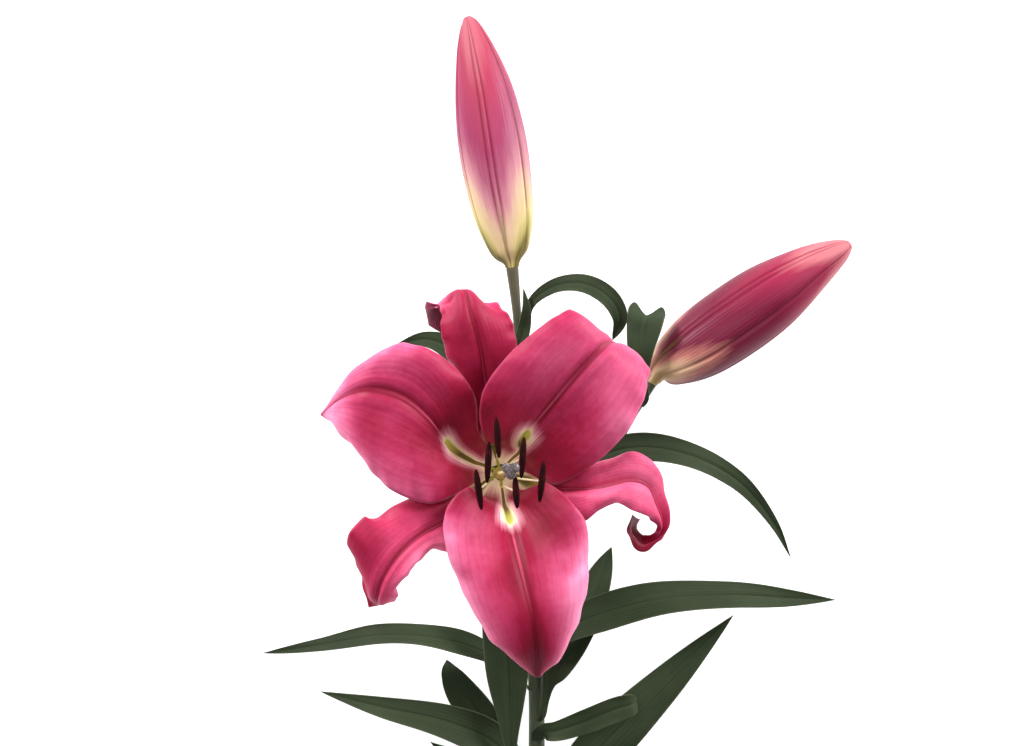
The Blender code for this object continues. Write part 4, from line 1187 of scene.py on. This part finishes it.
LEAF_WAVE = 0.09  # height of the waves along its margins, as a share of its half width
LEAF_WAVES = 3.2
LEAF_WAVE_LAG = 2.4  # between the waves of its two margins, in radians
LEAF_TAPER = 1.8  # 1 would taper straight from its widest place to its tip
LEAF_TIP = 0.07  # width at the tip, as a share of its half width
print("leaves:", len(LEAVES))

# The forked bract on the right bud's pedicel: it climbs, then its notched end bends down. Its blade lies
# level against a direction of its own, up, and notch is how deep the fork goes.
BRACT = leaf_row(92, 85, 8.4, 0.3, 0.9, [
    (37.6, 46, 27.5, 0), (37.6, 58, 32.5, 0), (39.4, 69.5, 31, 0), (41.0, 76, 24, 0),
], stalk=0.25, up=(0.0, 0.5, 0.87), notch=6.0)
NOTCH_START = 0.7  # as a share of the bract's length
NOTCH_LEVEL = 0.5  # share of the notch's depth that is cut back, the rest being drawn out into the lobes
LOBE_PLACE = 0.72  # where each of the two lobes ends, as a share of the half width
FOOT_SHARE = 0.07  # of a leaf's length that hugs the stem
FREE_SHARE = 0.3  # where the blade has turned to its own roll
LEAVE_CLIMB = 3.5  # from the node to where the midrib bends away, along the stem and out from it
LEAVE_OUT = 2.2
LEAF_THICKNESS = 0.8
FOOT_SUNK = 0.25  # how far a foot is sunk in the stem
LEAF_GROOVE = 0.45  # depth of the groove over a leaf's midrib
LEAF_GROOVE_WIDTH = 0.9


# %% Form of a leaf
def route_at(route, distance):
    """Point, radius and direction of a route at a distance along it from its lower end."""
    share = np.linspace(0.0, 1.0, 600)
    path = curve_at(route, share)
    steps = np.linalg.norm(np.diff(path[:, :3], axis=0), axis=1)
    run = np.concatenate([[0.0], np.cumsum(steps)])
    point = np.array([np.interp(distance, run, path[:, k]) for k in range(4)])
    ahead = np.array([np.interp(distance + 1.0, run, path[:, k]) for k in range(3)])
    behind = np.array([np.interp(distance - 1.0, run, path[:, k]) for k in range(3)])
    return point[:3], point[3], unit(ahead - behind)


def leaf_surface(route, leaf):
    """A blade that hugs the stem at its node, then follows its midrib."""
    centre, stem_radius, climb = route_at(route, leaf["node"])
    east = unit(np.cross(climb, (0.0, 0.0, 1.0)))
    above = np.cross(east, climb)
    side = math.radians(leaf["side"])
    outward = math.cos(side) * east + math.sin(side) * above
    hug_radius = stem_radius + LEAF_THICKNESS / 2.0 - FOOT_SUNK
    foot = centre + outward * hug_radius
    leave = foot + climb * LEAVE_CLIMB + outward * LEAVE_OUT
    first_roll = leaf["midrib"][0][3]
    points = [(*foot, first_roll), (*leave, first_roll), *leaf["midrib"]]
    half, base_half, widest = leaf["half"], leaf["base"] * leaf["half"], leaf["widest"]
    stalk, taper, notch = leaf.get("stalk", FOOT_SHARE), leaf.get("taper", LEAF_TAPER), leaf.get("notch", 0.0)

    def surface(u, v):
        path = curve_at(points, u)
        along = unit(curve_at(points, u + 0.01)[:, :3] - curve_at(points, u - 0.01)[:, :3])
        level = unit(np.cross(along, leaf.get("up", (0.0, 0.0, 1.0))))
        lifted = np.cross(level, along)
        roll = np.radians(path[:, 3])[:, None]
        blade_side = np.cos(roll) * level + np.sin(roll) * lifted
        blade_lift = np.cos(roll) * lifted - np.sin(roll) * level
        stem_side = np.cross(climb, outward)
        if np.dot(stem_side, blade_side[0]) < 0.0:
            stem_side = -stem_side
        freed = smoothstep((u - FOOT_SHARE) / (FREE_SHARE - FOOT_SHARE))[:, None]
        across = stem_side * (1.0 - freed) + blade_side * freed
        across = unit(across - along * np.sum(across * along, axis=1, keepdims=True))
        rise = -outward * (1.0 - freed) + blade_lift * freed
        widen = base_half + (half - base_half) * smoothstep((u - stalk) / (widest - stalk))
        past_widest = np.clip((u - widest) / (1.0 - widest), 0.0, 1.0)
        pointed = np.maximum(1.0 - past_widest**taper, LEAF_TIP * (1.0 - past_widest**8))
        width = widen * (1.0 if notch else pointed)
        hug = hug_radius * (1.0 - np.sqrt(np.maximum(0.05, 1.0 - (v * base_half / hug_radius) ** 2)))
        phase = 2.0 * math.pi * LEAF_WAVES * u + np.where(v > 0, 0.0, LEAF_WAVE_LAG) + leaf["node"]
        margin = CHANNEL * width * v * v + LEAF_WAVE * width * np.abs(v) ** 3 * np.sin(phase)
        groove = LEAF_GROOVE * hump(v * width, LEAF_GROOVE_WIDTH)
        lift = hug * (1.0 - freed[:, 0]) + (margin - groove) * freed[:, 0]
        forked = smoothstep((u - NOTCH_START) / (1.0 - NOTCH_START))
        lobe = (v / LOBE_PLACE) ** 2
        fork = along * (notch * forked * (lobe * (2.0 - lobe) - NOTCH_LEVEL))[:, None]
        return path[:, :3] + across * (width * v)[:, None] + rise * lift[:, None] + fork

    return surface


# %% Finish of a leaf's face and back
def leaf_finish(name, dark, middle, light):
    finish = Finish(name)
    along, share = finish.places()
    across = share * 2.0 - 1.0
    off = abs(across)
    space = finish.solid()
    streak, veins = finish.veined(along, across, (4.0, 1.2, 0.03), (1.6, 9.0, 1.5), 0.65, 34.0)
    cloud = finish.noise(space, 28.0, 3.0)
    tone = 0.45 + 0.5 * streak + 0.8 * cloud
    finish.colour = finish.ramp(tone, [(0.1, *dark), (0.5, *middle), (0.9, *light)])
    finish.paint(light, 0.1 * (veins ** 4.0))
    rib = 1.0 - finish.ease(off, 0.0, 0.09)
    finish.paint(light, 0.25 * rib)
    finish.paint((112, 116, 92), 0.4 * finish.ease(off, 0.94, 1.0))
    bump = finish.bump(veins * 0.3 + streak * 0.8, 0.14)
    return finish.done({"Roughness": 0.65 + 0.2 * streak, "Normal": bump, "Specular IOR Level": 0.12})


# %% Make the leaves and the bract
LEAF_GRID = (120, 32)
LEAF_MARGIN = 0.45  # thickness at its margins, as a share

leaf_materials = [
    leaf_finish("leaf face", (33, 42, 26), (49, 60, 40), (68, 80, 56)),
    leaf_finish("leaf back", (56, 68, 46), (74, 88, 62), (100, 112, 86)),
]
surfaces = {name: leaf_surface(MAIN_STEM, leaf) for name, leaf in LEAVES.items()}
surfaces["bract"] = leaf_surface(RIGHT_PEDICEL, BRACT)
for name, surface in surfaces.items():
    add_blade(name, surface, LEAF_GRID, LEAF_THICKNESS, LEAF_MARGIN, leaf_materials)
